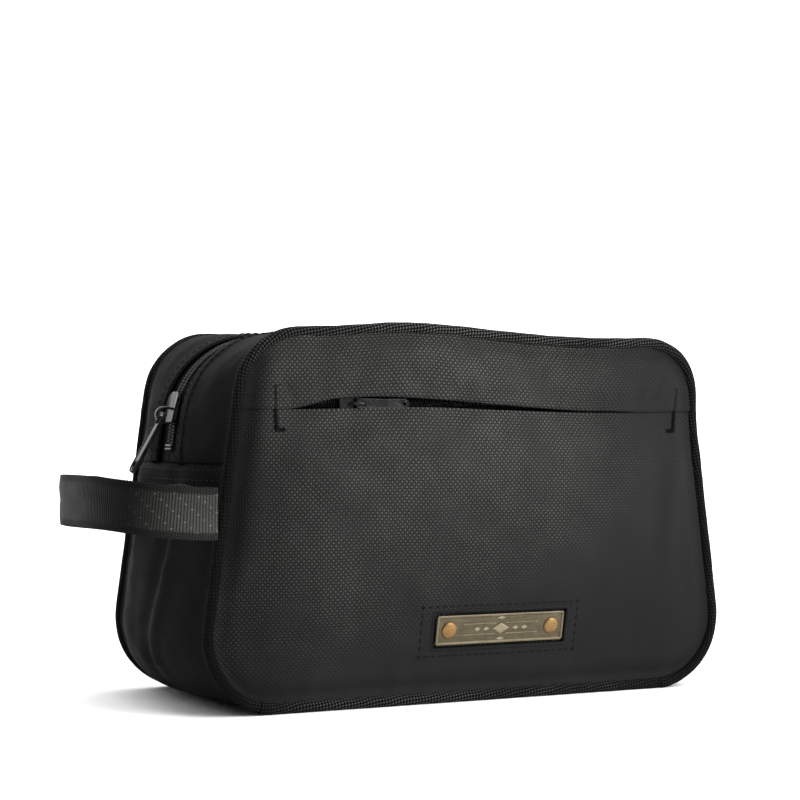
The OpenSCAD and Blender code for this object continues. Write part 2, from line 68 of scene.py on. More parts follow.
# ---------- sizes, read from the frame ----------

bag = {
    "endLean": math.radians(8),      # lean of the two ends
    "topRadius": 0.032,
    "bottomRadius": 0.035,
    "zipRadius": 0.045,              # the fuller corner that the zip runs round
    "pipingProud": 0.0015,
    "canvas": 0.0018,
    "flatEdge": 0.0035,              # gusset beside the piping that doesn't swell
    "fullHalf": 0.020,
}
pipeLow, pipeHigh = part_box("front_piping")
halfWidth = pipeHigh[0]
height = pipeHigh[2]
frontY = pipeLow[1]
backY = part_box("back_piping")[1][1]
pipeWide = pipeHigh[1] - pipeLow[1]
gussetY = backY - pipeWide
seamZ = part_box("gusset_corner_front_left")[0][2]
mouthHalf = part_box("mouth_flap_front")[1][0]
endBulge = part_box("bottom_gusset")[1][0] + bag["pipingProud"] - halfWidth
zipShow = abs(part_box("mouth_flap_front")[1][1])
slitMid = (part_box("pocket_slider")[0][2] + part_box("pocket_slider")[1][2]) / 2
leanSin = math.sin(bag["endLean"])
leanCos = math.cos(bag["endLean"])


# the leaning end wall: swell is how far it stands past the panel's own outline


def wallC(swell):
    flat = halfWidth + swell - bag["bottomRadius"]
    return flat * leanCos + bag["bottomRadius"] * leanSin + bag["bottomRadius"]


def cornerX(swell, radius):
    return (wallC(swell) - radius - (height - radius) * leanSin) / leanCos


def wallX(swell, z, inset=0):
    return (wallC(swell) - inset - z * leanSin) / leanCos


def arcPoints(cx, cz, radius, start, stop, steps):
    points = []
    for i in range(steps + 1):
        a = start + (stop - start) * i / steps
        points.append((cx + radius * math.cos(a), cz + radius * math.sin(a)))
    return points


def linePoints(a, b, steps):
    return [(a[0] + (b[0] - a[0]) * i / steps, a[1] + (b[1] - a[1]) * i / steps) for i in range(1, steps)]


def smooth(a, b, x):
    # 0 at a to 1 at b, eased at both ends
    t = min(1, max(0, (x - a) / (b - a)))
    return t * t * (3 - 2 * t)


def bump(x, centre, width):
    return math.exp(-((x - centre) / width) ** 2)


def rough(x, y, z, size, seed=0):
    return noise.noise(Vector((x / size + seed * 7.3, y / size - seed * 3.1, z / size + seed)))


# how the stuffed bag has settled: a hump left of the middle of the top, a dip right of it
sag = {
    "hump": 0.0034, "humpX": -0.036, "humpWide": 0.046, "humpLeft": 0.68,
    "dip": 0.0014, "dipX": 0.060, "dipWide": 0.04,
    "corner": 0.0030,        # lift of the full right corner
    "rear": 0.0024, "rearX": -0.088, "rearWide": 0.03,
}


def settle(p):
    # where a point of the unstuffed bag ends up
    x, y, z = p
    top = smooth(0.105, height, z) * (0.75 - 4 * y)
    wide = sag["humpWide"] * (sag["humpLeft"] if x < sag["humpX"] else 1)
    lift = sag["hump"] * bump(x, sag["humpX"], wide) - sag["dip"] * bump(x, sag["dipX"], sag["dipWide"])
    full = smooth(0.080, 0.112, x) * smooth(0.120, 0.160, z)
    rear = sag["rear"] * bump(x, sag["rearX"], sag["rearWide"])
    rear *= smooth(0.0, 0.05, y) * smooth(0.12, height, z)
    return Vector((x + sag["corner"] * full, y, z + top * lift + 0.5 * sag["corner"] * full + rear))


# ---------- meshes ----------


def finishMesh(obj, body, nodes=(), slot=None):
    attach(obj, body)
    if nodes:
        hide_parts(*nodes)
    return obj


def newObject(name, mesh, material):
    obj = bpy.data.objects.new(name, mesh)
    bpy.context.collection.objects.link(obj)
    mesh.materials.clear()
    mesh.materials.append(material)
    for face in mesh.polygons:
        face.use_smooth = True
    return obj


def gridObject(name, rows, uvRows, material, skip=None):
    # a mesh of rows of points, with its own weave coordinates in metres
    count = len(rows[0])
    verts = [p for row in rows for p in row]
    uvs = [p for row in uvRows for p in row]
    faces = []
    for j in range(len(rows) - 1):
        for i in range(count - 1):
            if skip and skip(i, j):
                continue
            a = j * count + i
            faces.append((a, a + 1, a + count + 1, a + count))
    mesh = bpy.data.meshes.new(name)
    mesh.from_pydata(verts, [], faces)
    layer = mesh.uv_layers.new(name="weave")
    for k, corner in enumerate(mesh.loops):
        layer.data[k].uv = uvs[corner.vertex_index]
    if skip:
        work = bmesh.new()
        work.from_mesh(mesh)
        loose = [v for v in work.verts if not v.link_faces]
        bmesh.ops.delete(work, geom=loose, context="VERTS")
        work.to_mesh(mesh)
        work.free()
    return newObject(name, mesh, material)


def baked(obj):
    # the modifiers' result as a plain mesh, with nothing live left on the piece
    graph = bpy.context.evaluated_depsgraph_get()
    mesh = bpy.data.meshes.new_from_object(obj.evaluated_get(graph))
    obj.modifiers.clear()
    obj.data = mesh
    return obj


def thicken(obj, depth, inner=None):
    if inner:
        obj.data.materials.append(inner)
    shell = obj.modifiers.new("shell", "SOLIDIFY")
    shell.thickness = depth
    shell.offset = -1
    if inner:
        shell.material_offset = 1
    return baked(obj)


def outward(obj, merge=0):
    # faces point out, and points closer than merge become one
    work = bmesh.new()
    work.from_mesh(obj.data)
    if merge:
        bmesh.ops.remove_doubles(work, verts=work.verts, dist=merge)
    bmesh.ops.recalc_face_normals(work, faces=work.faces)
    work.to_mesh(obj.data)
    work.free()
    return obj


def sheetOver(name, across, up, at, material, depth):
    # a thin sheet over two runs of stations; across may depend on the height, at(u, v) gives a point
    rows, uvRows = [], []
    for v in up:
        run = across(v) if callable(across) else across
        rows.append([at(u, v) for u in run])
        uvRows.append([(u, v) for u in run])
    return thicken(outward(gridObject(name, rows, uvRows, material)), depth)


def tubeObject(name, path, radiusAt, sides, material, closed=True):
    # a tube round a path in a plane of constant y; its section can be flattened by radiusAt
    count = len(path)
    rows, uvRows = [], []
    along = 0
    for i in range(count + (1 if closed else 0)):
        here = path[i % count]
        ahead = path[(i + 1) % count] if closed or i < count - 1 else here
        behind = path[(i - 1) % count] if closed or i > 0 else here
        tangent = (ahead - behind).normalized()
        side = Vector((0, 1, 0))
        up = side.cross(tangent).normalized()
        if i:
            along += (here - path[i - 1]).length
        across, tall = radiusAt(i % count, along)
        ring, uvRing = [], []
        for k in range(sides + 1):
            a = 2 * math.pi * k / sides
            ring.append(here + side * (across * math.cos(a)) + up * (tall * math.sin(a)))
            uvRing.append((along, across * a))
        rows.append(ring)
        uvRows.append(uvRing)
    obj = gridObject(name, rows, uvRows, material)
    return outward(obj, 0.00001)


# ---------- shader maths ----------


class Wire:
    def __init__(self, net, socket):
        self.net = net
        self.socket = socket

    def step(self, operation, other=None, swapped=False):
        if other is None:
            values = {0: self}
        elif swapped:
            values = {0: other, 1: self}
        else:
            values = {0: self, 1: other}
        return self.net.wire("ShaderNodeMath", {"operation": operation}, values)

    def __add__(self, other):
        return self.step("ADD", other)

    def __radd__(self, other):
        return self.step("ADD", other)

    def __sub__(self, other):
        return self.step("SUBTRACT", other)

    def __rsub__(self, other):
        return self.step("SUBTRACT", other, True)

    def __mul__(self, other):
        return self.step("MULTIPLY", other)

    def __rmul__(self, other):
        return self.step("MULTIPLY", other)

    def __truediv__(self, other):
        return self.step("DIVIDE", other)

    def __pow__(self, other):
        return self.step("POWER", other)

    def sine(self):
        return self.step("SINE")

    def floor(self):
        return self.step("FLOOR")

    def part(self):
        return self.step("FRACT")

    def clamp(self):
        return self.net.wire("ShaderNodeClamp", {}, {"Value": self})


class Net:
    def __init__(self, name):
        self.material = bpy.data.materials.new(name)
        self.material.use_nodes = True
        self.tree = self.material.node_tree
        self.tree.nodes.clear()
        self.shader = self.node("ShaderNodeBsdfPrincipled")
        self.output = self.node("ShaderNodeOutputMaterial", {}, {"Surface": self.shader.outputs[0]})

    def node(self, kind, settings={}, values={}):
        made = self.tree.nodes.new(kind)
        for key, value in settings.items():
            setattr(made, key, value)
        for key, value in values.items():
            if isinstance(value, Wire):
                value = value.socket
            if isinstance(value, bpy.types.NodeSocket):
                self.tree.links.new(value, made.inputs[key])
            else:
                made.inputs[key].default_value = value
        return made

    def wire(self, kind, settings={}, values={}, output=0):
        return Wire(self, self.node(kind, settings, values).outputs[output])

    def mix(self, factor, a, b):
        kind = {"data_type": "RGBA"}
        ends = [(*c, 1) if isinstance(c, tuple) and len(c) == 3 else c for c in (a, b)]
        return self.wire("ShaderNodeMix", kind, {0: factor, 6: ends[0], 7: ends[1]}, 2)

    def noise(self, where, scale, detail=3.0, rough=0.5):
        values = {"Vector": where, "Scale": scale, "Detail": detail, "Roughness": rough}
        return self.wire("ShaderNodeTexNoise", {}, values)

    def range(self, value, low, high, start=0.0, stop=1.0):
        values = {"Value": value, "From Min": low, "From Max": high, "To Min": start, "To Max": stop}
        return self.wire("ShaderNodeMapRange", {"interpolation_type": "SMOOTHSTEP"}, values)

    def place(self):
        return self.wire("ShaderNodeTexCoord", {}, {}, 3)

    def finish(self, colour, roughness, height=None, depth=0.0003, strength=1.0, fixed={}):
        for key, value in {"Base Color": colour, "Roughness": roughness, **fixed}.items():
            if isinstance(value, Wire):
                self.tree.links.new(value.socket, self.shader.inputs[key])
            else:
                self.shader.inputs[key].default_value = (*value, 1) if isinstance(value, tuple) else value
        if height is not None:
            values = {"Height": height, "Strength": strength, "Distance": depth}
            bumpNode = self.node("ShaderNodeBump", {}, values)
            self.tree.links.new(bumpNode.outputs[0], self.shader.inputs["Normal"])
        return self.material


weave = {
    "threadU": 0.00116, "threadV": 0.00126,   # spacing of the threads
    "dark": (0.0042, 0.0042, 0.0043),
    "pale": (0.110, 0.108, 0.104),            # worn thread crowns
    "olive": (0.086, 0.085, 0.078),
    "waxed": (0.0215, 0.0215, 0.0214),        # where wax has filled the weave
}


def canvasMaterial(name, turn=0.0, wear=1.0, wax=0.10, region=None, tone=1.0, gloss=0.030):
    # plain weave with worn crowns; region(net, uv) gives how clear the weave is and how pale it is, painted
    # light and shade included
    net = Net(name)
    uv = net.wire("ShaderNodeUVMap", {"uv_map": "weave"})
    drift = net.node("ShaderNodeTexNoise", {}, {"Vector": uv, "Scale": 55.0, "Detail": 2.0})
    centred = {0: drift.outputs[1], 1: (0.5, 0.5, 0.5)}
    sway = net.wire("ShaderNodeVectorMath", {"operation": "SUBTRACT"}, centred)
    sway = net.wire("ShaderNodeVectorMath", {"operation": "SCALE"}, {0: sway, "Scale": 0.0016})
    where = net.wire("ShaderNodeVectorMath", {"operation": "ADD"}, {0: uv, 1: sway})
    turned = net.wire("ShaderNodeMapping", {}, {"Vector": where, "Rotation": (0, 0, turn)})
    parts = net.node("ShaderNodeSeparateXYZ", {}, {0: turned})
    u = Wire(net, parts.outputs[0]) / weave["threadU"]
    v = Wire(net, parts.outputs[1]) / weave["threadV"]
    over = ((u.floor() + v.floor()) * 0.5).part() * 2
    alongU = (u.part() * math.pi).sine()
    alongV = (v.part() * math.pi).sine()
    weft = over * (alongV ** 0.6) * (alongU ** 0.22)
    warp = (1 - over) * (alongU ** 0.8) * (alongV ** 0.45)
    big = net.noise(uv, 26.0, 4.0, 0.6)
    mid = net.noise(uv, 150.0, 3.0, 0.6)
    fuzz = net.noise(uv, 1500.0, 2.0, 0.7)
    if region:
        clear, lift = region(net, uv)
    else:
        clear, lift = wear, tone
    clear = net.range(big, 0.30, 0.56, 0.45, 1.0) * clear
    crest = net.noise(uv, 62.0, 2.0)
    uneven = (mid + 0.5) * (fuzz * 0.9 + 0.5) * (crest * 0.9 + 0.55)
    # the pale crowns: wear times the tone, which on the front carries painted light and shade
    wearAndPaintedLight = (weft * 0.74 + warp * 0.30) * uneven * lift
    tint = net.mix(net.range(mid, 0.4, 0.7), weave["pale"], weave["olive"])
    cloth = net.mix(wearAndPaintedLight.clamp(), weave["dark"], tint)
    # the waxed areas take the same tone, so the front's painted light and shade reach them too
    smoothed = net.mix(lift.clamp() if region else wax, weave["dark"], weave["waxed"])
    colour = net.mix(clear.clamp(), smoothed, cloth)
    roughness = 0.62 + weft * 0.1
    relief = (weft + warp * 0.7 + fuzz * 0.16) * (clear * 0.94 + 0.06)
    return net.finish(colour, roughness, relief, 0.0004, 0.8, {"Specular IOR Level": gloss})


def frontRegion(net, uv):
    # worn bare on the left and high up, waxed smooth low down and to the right; the tone also holds a
    # painted pool of light high in the middle, painted shade along the left edge and down the left side, and
    # grows darker towards the right and the bottom
    parts = net.node("ShaderNodeSeparateXYZ", {}, {0: uv})
    u = Wire(net, parts.outputs[0])
    v = Wire(net, parts.outputs[1])
    stray = net.noise(uv, 30.0, 3.0) * 0.02 - 0.01
    clear = net.range(v - 0.05 - u * 0.35 + stray, -0.020, 0.026)
    clear = clear * net.range(u + stray, 0.015, 0.105, 1.0, 0.30)
    # painted pool of light high up in the middle of the panel
    paintedLightPool = net.range((u - 0.008) * (u - 0.008) / 0.0024, 0.0, 1.6, 1.0, 0.0) * net.range(v, 0.075, 0.12)
    # painted shade in a band along the left edge, where the panel dips behind the piping; it lifts again
    # near the base
    rim = net.range(u - v * 0.14 + 0.1375 + stray * 0.3, 0.006, 0.019, 0.12, 1.0)
    rim = rim + net.range(v, 0.080, 0.045, 0.0, 0.7)
    # painted shade down the left side, below the top corner
    left = 1 - net.range(u + stray, -0.118, -0.070, 0.55, 0.0) * net.range(v, 0.140, 0.105)
    # darker towards the right and towards the bottom
    right = net.range(u, 0.040, 0.100, 1.0, 0.78)
    low = net.range(v, 0.035, 0.095, 0.76, 1.0)
    return clear, (paintedLightPool * 0.24 + 0.76) * rim.clamp() * left * right * low


cordWeave = {
    "threadU": 0.00105, "threadV": 0.00115, "slant": math.radians(38),
    "dark": (0.0025, 0.0025, 0.0027), "pale": (0.075, 0.073, 0.069), "gloss": 0.025,
}


def pipingMaterial(name):
    # bias-cut canvas stretched over a cord: the threads cross it on a slant like a rope
    net = Net(name)
    uv = net.wire("ShaderNodeUVMap", {"uv_map": "weave"})
    turned = net.wire("ShaderNodeMapping", {}, {"Vector": uv, "Rotation": (0, 0, cordWeave["slant"])})
    parts = net.node("ShaderNodeSeparateXYZ", {}, {0: turned})
    u = Wire(net, parts.outputs[0]) / cordWeave["threadU"]
    v = Wire(net, parts.outputs[1]) / cordWeave["threadV"]
    over = ((u.floor() + v.floor()) * 0.5).part() * 2
    alongU = (u.part() * math.pi).sine()
    alongV = (v.part() * math.pi).sine()
    crown = over * (alongV ** 0.7) * (alongU ** 0.5)
    under = (1 - over) * (alongU ** 0.7) * (alongV ** 0.5)
    fuzz = net.noise(uv, 1800.0, 2.0, 0.7)
    patch = net.noise(uv, 28.0, 3.0)
    wearAndPaintedLight = crown * net.range(patch, 0.35, 0.6, 0.45, 1.0) * (fuzz * 0.8 + 0.6)
    across = net.node("ShaderNodeSeparateXYZ", {}, {0: net.place()})
    far = Wire(net, across.outputs[0])
    # painted shade on the cord at the bag's left end; the cord is also darker towards the right end
    wearAndPaintedLight = wearAndPaintedLight * net.range(far, -0.122, -0.085, 0.12, 1.05) * net.range(far, 0.06, 0.12, 1.0, 0.30)
    # brighter along the top
    wearAndPaintedLight = wearAndPaintedLight * net.range(Wire(net, across.outputs[2]), 0.120, 0.155, 0.85, 1.35)
    colour = net.mix(wearAndPaintedLight.clamp(), cordWeave["dark"], cordWeave["pale"])
    relief = crown + under * 0.6 + fuzz * 0.15
    fixed = {"Specular IOR Level": cordWeave["gloss"]}
    return net.finish(colour, 0.6 + under * 0.1, relief, 0.0005, 0.8, fixed)


webbingWeave = {
    "rib": 0.00138, "pick": 0.0011, "selvedge": 0.0078,   # the selvedge starts this far from the middle
    "dark": (0.0015, 0.0015, 0.0015), "pale": (0.062, 0.061, 0.057), "paintedGlint": (0.17, 0.17, 0.16),
    "gloss": 0.035,
}


def webbingMaterial():
    # ribs across the strap, tied down at a few picks that carry painted glints; painted light near the bag's
    # front seam fades to painted shade round the loop
    net = Net("webbing")
    uv = net.wire("ShaderNodeUVMap", {"uv_map": "weave"})
    parts = net.node("ShaderNodeSeparateXYZ", {}, {0: uv})
    u = Wire(net, parts.outputs[0]) / webbingWeave["rib"]
    v = Wire(net, parts.outputs[1]) / webbingWeave["pick"]
    rib = (u.part() * math.pi).sine()
    cell = (v + u.floor() * 0.5).part()
    stitch = (cell * math.pi).sine() ** 0.6
    selvedge = webbingWeave["selvedge"]
    edge = net.range(Wire(net, parts.outputs[1]).step("ABSOLUTE"), selvedge, selvedge + 0.001)
    tight = ((v + (u * 2).floor() * 0.5).part() * math.pi).sine() * ((u * 2).part() * math.pi).sine()
    relief = (1 - edge) * (rib * 0.55 + 0.45) * (stitch * 0.35 + 0.65) + edge * tight
    fuzz = net.noise(uv, 2400.0, 2.0, 0.7)
    patch = net.noise(uv, 40.0, 3.0)
    tied = ((u.floor() + (v + u.floor() * 0.5).floor() * 4) / 14).part()
    # painted glints on a few tied-down picks
    paintedGlint = net.range(tied, 0.03, 0.05, 1.0, 0.0) * stitch ** 3.0 * net.range(fuzz, 0.42, 0.60)
    # painted light near the front seam, fading to painted shade further round the loop
    paintedStrapLightAndShade = net.range(Wire(net, parts.outputs[0]), 0.010, 0.044, 1.25, 0.10)
    wearAndPaintedLight = relief ** 2.0 * (patch * 0.8 + 0.45) * (fuzz * 0.7 + 0.65) * paintedStrapLightAndShade
    colour = net.mix(wearAndPaintedLight.clamp(), webbingWeave["dark"], webbingWeave["pale"])
    colour = net.mix(paintedGlint * relief * (1 - edge) * paintedStrapLightAndShade.clamp(), colour, webbingWeave["paintedGlint"])
    fixed = {"Specular IOR Level": webbingWeave["gloss"]}
    return net.finish(colour, 0.58 - relief * 0.12, relief + fuzz * 0.1, 0.0005, 0.8, fixed)


def tapeMaterial():
    net = Net("zip tape")
    uv = net.wire("ShaderNodeUVMap", {"uv_map": "weave"})
    parts = net.node("ShaderNodeSeparateXYZ", {}, {0: uv})
    u = Wire(net, parts.outputs[0]) / 0.0007
    v = Wire(net, parts.outputs[1]) / 0.0009
    ribs = ((u + v).part() * math.pi).sine() * ((v - u).part() * math.pi).sine()
    fuzz = net.noise(uv, 1500.0, 2.0)
    colour = net.mix(ribs * (fuzz * 0.8 + 0.5), (0.0015, 0.0015, 0.0018), (0.010, 0.010, 0.0105))
    return net.finish(colour, 0.72, ribs + fuzz * 0.2, 0.0002, 0.6, {"Specular IOR Level": 0.04})


def liningMaterial():
    net = Net("lining")
    uv = net.wire("ShaderNodeUVMap", {"uv_map": "weave"})
    parts = net.node("ShaderNodeSeparateXYZ", {}, {0: uv})
    u = Wire(net, parts.outputs[0]) / 0.0006
    v = Wire(net, parts.outputs[1]) / 0.0006
    grid = (u.part() * math.pi).sine() * (v.part() * math.pi).sine()
    rib = net.range(((Wire(net, parts.outputs[0]) / 0.005).part() - 0.5).step("ABSOLUTE"), 0.44, 0.49)
    fuzz = net.noise(uv, 60.0, 4.0)
    colour = net.mix(grid * (fuzz + 0.3), (0.022, 0.022, 0.024), (0.075, 0.075, 0.08))
    return net.finish(colour, 0.5 + fuzz * 0.15, grid + rib * 0.6, 0.0002, 0.6, {"Specular IOR Level": 0.3})


def metalMaterial(name, colour, bright, rough, wearAndPaintedLight=0.35, metallic=0.0):
    net = Net(name)
    where = net.place()
    blotch = net.noise(where, 320.0, 4.0, 0.6)
    scratch = net.wire("ShaderNodeMapping", {}, {"Vector": where, "Scale": (300.0, 2400.0, 2400.0)})
    lines = net.noise(scratch, 1.0, 3.0, 0.7)
    edges = net.wire("ShaderNodeNewGeometry", {}, {}, 7)
    # paler edges: rubbed lacquer, and a painted highlight along the edges
    rim = net.range(edges, 0.52, 0.60, 0.0, wearAndPaintedLight)
    tone = net.mix((net.range(blotch, 0.4, 0.75, 0.0, 0.35) + rim).clamp(), colour, bright)
    gloss = rough + blotch * 0.16 - rim * 0.1 + lines * 0.06
    fixed = {"Metallic": metallic, "Specular IOR Level": 0.09}
    return net.finish(tone, gloss, lines + blotch * 0.6, 0.00004, 0.5, fixed)


def brassMaterial(name, recess, face, rough=0.42):
    # antiqued brass: dark residue low down, brushed brighter metal on what stands up
    net = Net(name)
    where = net.place()
    parts = net.node("ShaderNodeSeparateXYZ", {}, {0: where})
    brushed = net.wire("ShaderNodeMapping", {}, {"Vector": where, "Scale": (120.0, 900.0, 3200.0)})
    lines = net.noise(brushed, 1.0, 4.0, 0.7)
    blotch = net.noise(where, 260.0, 5.0, 0.62)
    edges = net.wire("ShaderNodeNewGeometry", {}, {}, 7)
    rim = net.range(edges, 0.52, 0.62, 0.0, 0.55)
    pit = net.range(edges, 0.44, 0.495, 0.75, 0.0)
    tone = net.mix(net.range(lines * 0.6 + blotch * 0.4, 0.3, 0.7), recess, face)
    tone = net.mix(rim, tone, tuple(min(1, c * 1.9) for c in face))
    tone = net.mix(pit, tone, (0.03, 0.022, 0.012))
    gloss = rough + blotch * 0.22 - rim * 0.14
    return net.finish(tone, gloss, lines * 0.7 + blotch, 0.00006, 0.6, {"Metallic": 0.92})


def threadMaterial():
    net = Net("thread")
    where = net.place()
    strands = net.wire("ShaderNodeTexWave", {}, {"Vector": where, "Scale": 900.0, "Distortion": 2.0})
    fuzz = net.noise(where, 2500.0, 2.0)
    colour = net.mix(strands * (fuzz * 0.8 + 0.4), (0.001, 0.001, 0.001), (0.007, 0.007, 0.007))
    return net.finish(colour, 0.6, strands, 0.00008, 0.5, {"Specular IOR Level": 0.08})


def coilMaterial():
    net = Net("zip coil")
    fuzz = net.noise(net.place(), 700.0, 3.0)
    colour = net.mix(fuzz, (0.002, 0.002, 0.002), (0.009, 0.009, 0.009))
    return net.finish(colour, 0.4 + fuzz * 0.2, fuzz, 0.00005, 0.3, {"Specular IOR Level": 0.05})


def boardMaterial():
    net = Net("stiffening board")
    where = net.place()
    fibre = net.wire("ShaderNodeMapping", {}, {"Vector": where, "Scale": (300.0, 1400.0, 900.0)})
    grain = net.noise(fibre, 1.0, 5.0, 0.65)
    colour = net.mix(grain, (0.03, 0.03, 0.032), (0.07, 0.07, 0.072))
    return net.finish(colour, 0.8, grain, 0.0002, 0.6)


frontCanvas = canvasMaterial("front canvas", region=frontRegion)
backCanvas = canvasMaterial("back canvas", 0, 0.7, 0.8)
sideCanvas = canvasMaterial("gusset canvas", math.radians(90), 0.34, 0.05, tone=0.24, gloss=0.012)
pipingCanvas = pipingMaterial("piping canvas")
webbing = webbingMaterial()
zipTape = tapeMaterial()
zipCoil = coilMaterial()
lining = liningMaterial()
thread = threadMaterial()
board = boardMaterial()
blackMetal = metalMaterial("black lacquered metal", (0.0035, 0.0035, 0.004), (0.05, 0.05, 0.05), 0.12)
plateBrass = brassMaterial("antique brass", (0.086, 0.070, 0.045), (0.22, 0.188, 0.125))
rivetBrass = brassMaterial("rivet brass", (0.17, 0.095, 0.035), (0.30, 0.185, 0.075), 0.36)
print("stage: materials")

# ---------- panels ----------

front = {
    "puff": 0.0076,        # how far the stuffed panel stands out in the middle
    "edgeDip": 0.0017,     # it sinks behind the piping
    "endFold": 0.0010,     # upright folds beside the piping
    "fold": 0.0016,        # soft upright fold near the right end
    "swell": 0.0014,       # slow lumps of what is packed inside
    "crumple": 0.0006,     # small lumps
    "pucker": 0.0010,      # pleats that run down the left edge
    "slack": 0.0012,       # slack cloth under the slit's left end
    "pinch": 0.0018,       # dent over the middle of the slit
    "overSlit": 0.0022,    # lumps over the slit
    "creases": 0.00075,    # creases over the slit
    "lipRoll": 0.0011,     # the upper lip rolls outwards
    "hemRipple": 0.00045,  # ripples over the base seam
    "slitRise": 0.0050,
    "grid": 0.0019,
}
plateLean = {"out": 0.0036, "slope": 0.20}   # how the panel stands where the nameplate is
plateAt = {"x": 0.010, "z": 0.0335, "wide": 0.067, "tall": 0.0136, "rivet": 0.027}
panelY = frontY + bag["pipingProud"]
lipZ = slitMid - 0.00275
window = (-0.0251, 0.0451, 0.0251, 0.0419)


def outlineHalf(z, inset, swell=0, top=bag["topRadius"]):
    # half the panel's width at a height
    rb = bag["bottomRadius"]
    if z < rb + (rb - inset) * leanSin:
        return halfWidth + swell - rb + math.sqrt(max(0, (rb - inset) ** 2 - (z - rb) ** 2))
    if z > height - top + (top - inset) * leanSin:
        return cornerX(swell, top) + math.sqrt(max(0, (top - inset) ** 2 - (z - height + top) ** 2))
    return wallX(swell, z, inset)


def stations(marks, step):
    # even stations about a step apart that hit every mark
    points = [marks[0]]
    for a, b in zip(marks, marks[1:]):
        count = max(1, round((b - a) / step))
        points += [a + (b - a) * (i + 1) / count for i in range(count)]
    return points


def frontFolds(x, z):
    # folds that only the worn front has
    over = z - slitMid
    out = front["pucker"] * bump(x, -0.106, 0.017) * math.sin((z - 0.073) * 224) * bump(z, 0.078, 0.026)
    slant = z - 0.09 + (x + 0.075) * 0.8
    out += front["slack"] * bump(x, -0.075, 0.03) * math.sin(slant * 150) * bump(z, 0.105, 0.02)
    out -= front["pinch"] * bump(x + 0.35 * (z - 0.15), 0.001, 0.0065) * bump(z, 0.152, 0.012)
    if over > 0:
        near = smooth(0.026, 0.001, over) * smooth(0.125, 0.095, abs(x))
        slant = x + 0.55 * over * (1 if x < 0 else -1)
        fine = rough(slant * 1.7, over * 0.35, 0, 0.0085, 3) + 0.7 * rough(slant * 2, z, 0, 0.019, 4)
        out += front["overSlit"] * rough(x + 0.3 * over, z, 2, 0.030, 8) * smooth(0.0, 0.012, over)
        out += front["creases"] * near * fine
        rolled = bump(over, 0.0095, 0.0035) * smooth(0.11, 0.07, abs(x))
        out += front["lipRoll"] * rolled * (0.7 + rough(x, 0, 0, 0.03, 5))
    return out + front["hemRipple"] * smooth(0.05, 0.012, z) * rough(x, z * 0.35, 1, 0.008, 6)


def puff(x, z, side=1):
    # how far the stuffed panel stands out of its flat shape
    edgeX = max(0.0002, outlineHalf(z, 0.003) - abs(x))
    edgeZ = max(0.0002, min(z - 0.003, height - 0.003 - z))
    inside = (edgeX ** -3 + edgeZ ** -3) ** (-1 / 3)
    held = 1 - 0.8 * bump(z, slitMid, 0.016) if side > 0 else 1
    out = front["puff"] * smooth(0, 0.060, inside) * held
    if side > 0:
        awayX = max(0, abs(x - plateAt["x"]) - 0.038)
        awayZ = max(0, abs(z - plateAt["z"]) - 0.010)
        near = smooth(0.016, 0.0, math.hypot(awayX, awayZ))
        out += (plateLean["out"] + plateLean["slope"] * (z - plateAt["z"]) - out) * near
    out -= front["edgeDip"] * bump(inside, 0.0052, 0.0036)
    upright = smooth(0.03, 0.06, z) * smooth(0.15, 0.12, z)
    out += front["endFold"] * bump(abs(x), 0.119 - (z - 0.08) * 0.13, 0.006) * upright
    out += front["fold"] * bump(x, 0.107 + 0.1 * (z - 0.09), 0.006) * bump(z, 0.088, 0.03)
    out -= 0.6 * front["fold"] * bump(x, 0.097 + 0.12 * (z - 0.09), 0.006) * bump(z, 0.092, 0.026)
    out += front["swell"] * rough(x, z, side, 0.055, 1) * smooth(0, 0.02, inside)
    out += front["crumple"] * rough(x, z * 1.4, side, 0.018, 2) * smooth(0, 0.01, inside)
    return out + frontFolds(x, z) if side > 0 else out


def panelPoint(x, z, side=1, sink=0.0):
    base = panelY if side > 0 else -panelY
    return settle((x, base - side * (puff(x, z, side) - sink), z))


def panelRow(z, columns, inset):
    # columns keep their place in the middle and crowd or spread to reach the outline
    half = outlineHalf(z, inset)
    out = []
    for x in columns:
        far = abs(x) - 0.080
        out.append(x if far <= 0 else math.copysign(0.080 + far * (half - 0.080) / 0.055, x))
    return out


def upperLip(x):
    # height of the slit's upper lip, which gapes left of the middle
    gape = smooth(-0.099, -0.068, x) * (1 - 0.78 * min(1, max(0, (x + 0.055) / 0.115)))
    return lipZ + 0.0002 + front["slitRise"] * gape * (1 - smooth(0.070, 0.097, x))


def panelObject(name, levels, columns, side, material, skip=None):
    # levels: (height of the row, how far it sinks), or a function of x that gives both
    rows, uvRows = [], []
    for level in levels:
        z = level[0] if not callable(level) else level(0)[0]
        xs = panelRow(z, columns, 0.0030)
        row, uvRow = [], []
        for x in xs:
            here, sink = level(x) if callable(level) else level
            row.append(panelPoint(x, here, side, sink))
            uvRow.append((x, here - sink * 1.5))
        rows.append(row)
        uvRows.append(uvRow)
    return gridObject(name, rows, uvRows, material, skip=skip)


columns = stations([-0.135, -0.080, window[0], window[1], 0.080, 0.135], front["grid"])
lowMarks = stations([0.0031, window[2], window[3], lipZ - 0.0016], front["grid"])
# the turned edge: (height, depth) as the cloth rolls back on itself
lipRoll = [(-0.0008, 0), (-0.0002, 0.0003), (0, 0.0009)]
lipRoll += [(-0.0002, 0.0015), (-0.0012, 0.0019), (-0.006, 0.0021)]
lowLevels = [(z, 0.0) for z in lowMarks] + [(lipZ + dz, sink) for dz, sink in lipRoll]


def inWindow(i, j):
    # the opening that the nameplate sits in
    if j + 1 >= len(lowMarks):
        return False
    wide = window[0] - 1e-6 <= columns[i] and columns[i + 1] <= window[1] + 1e-6
    tall = window[2] - 1e-6 <= lowMarks[j] and lowMarks[j + 1] <= window[3] + 1e-6
    return wide and tall


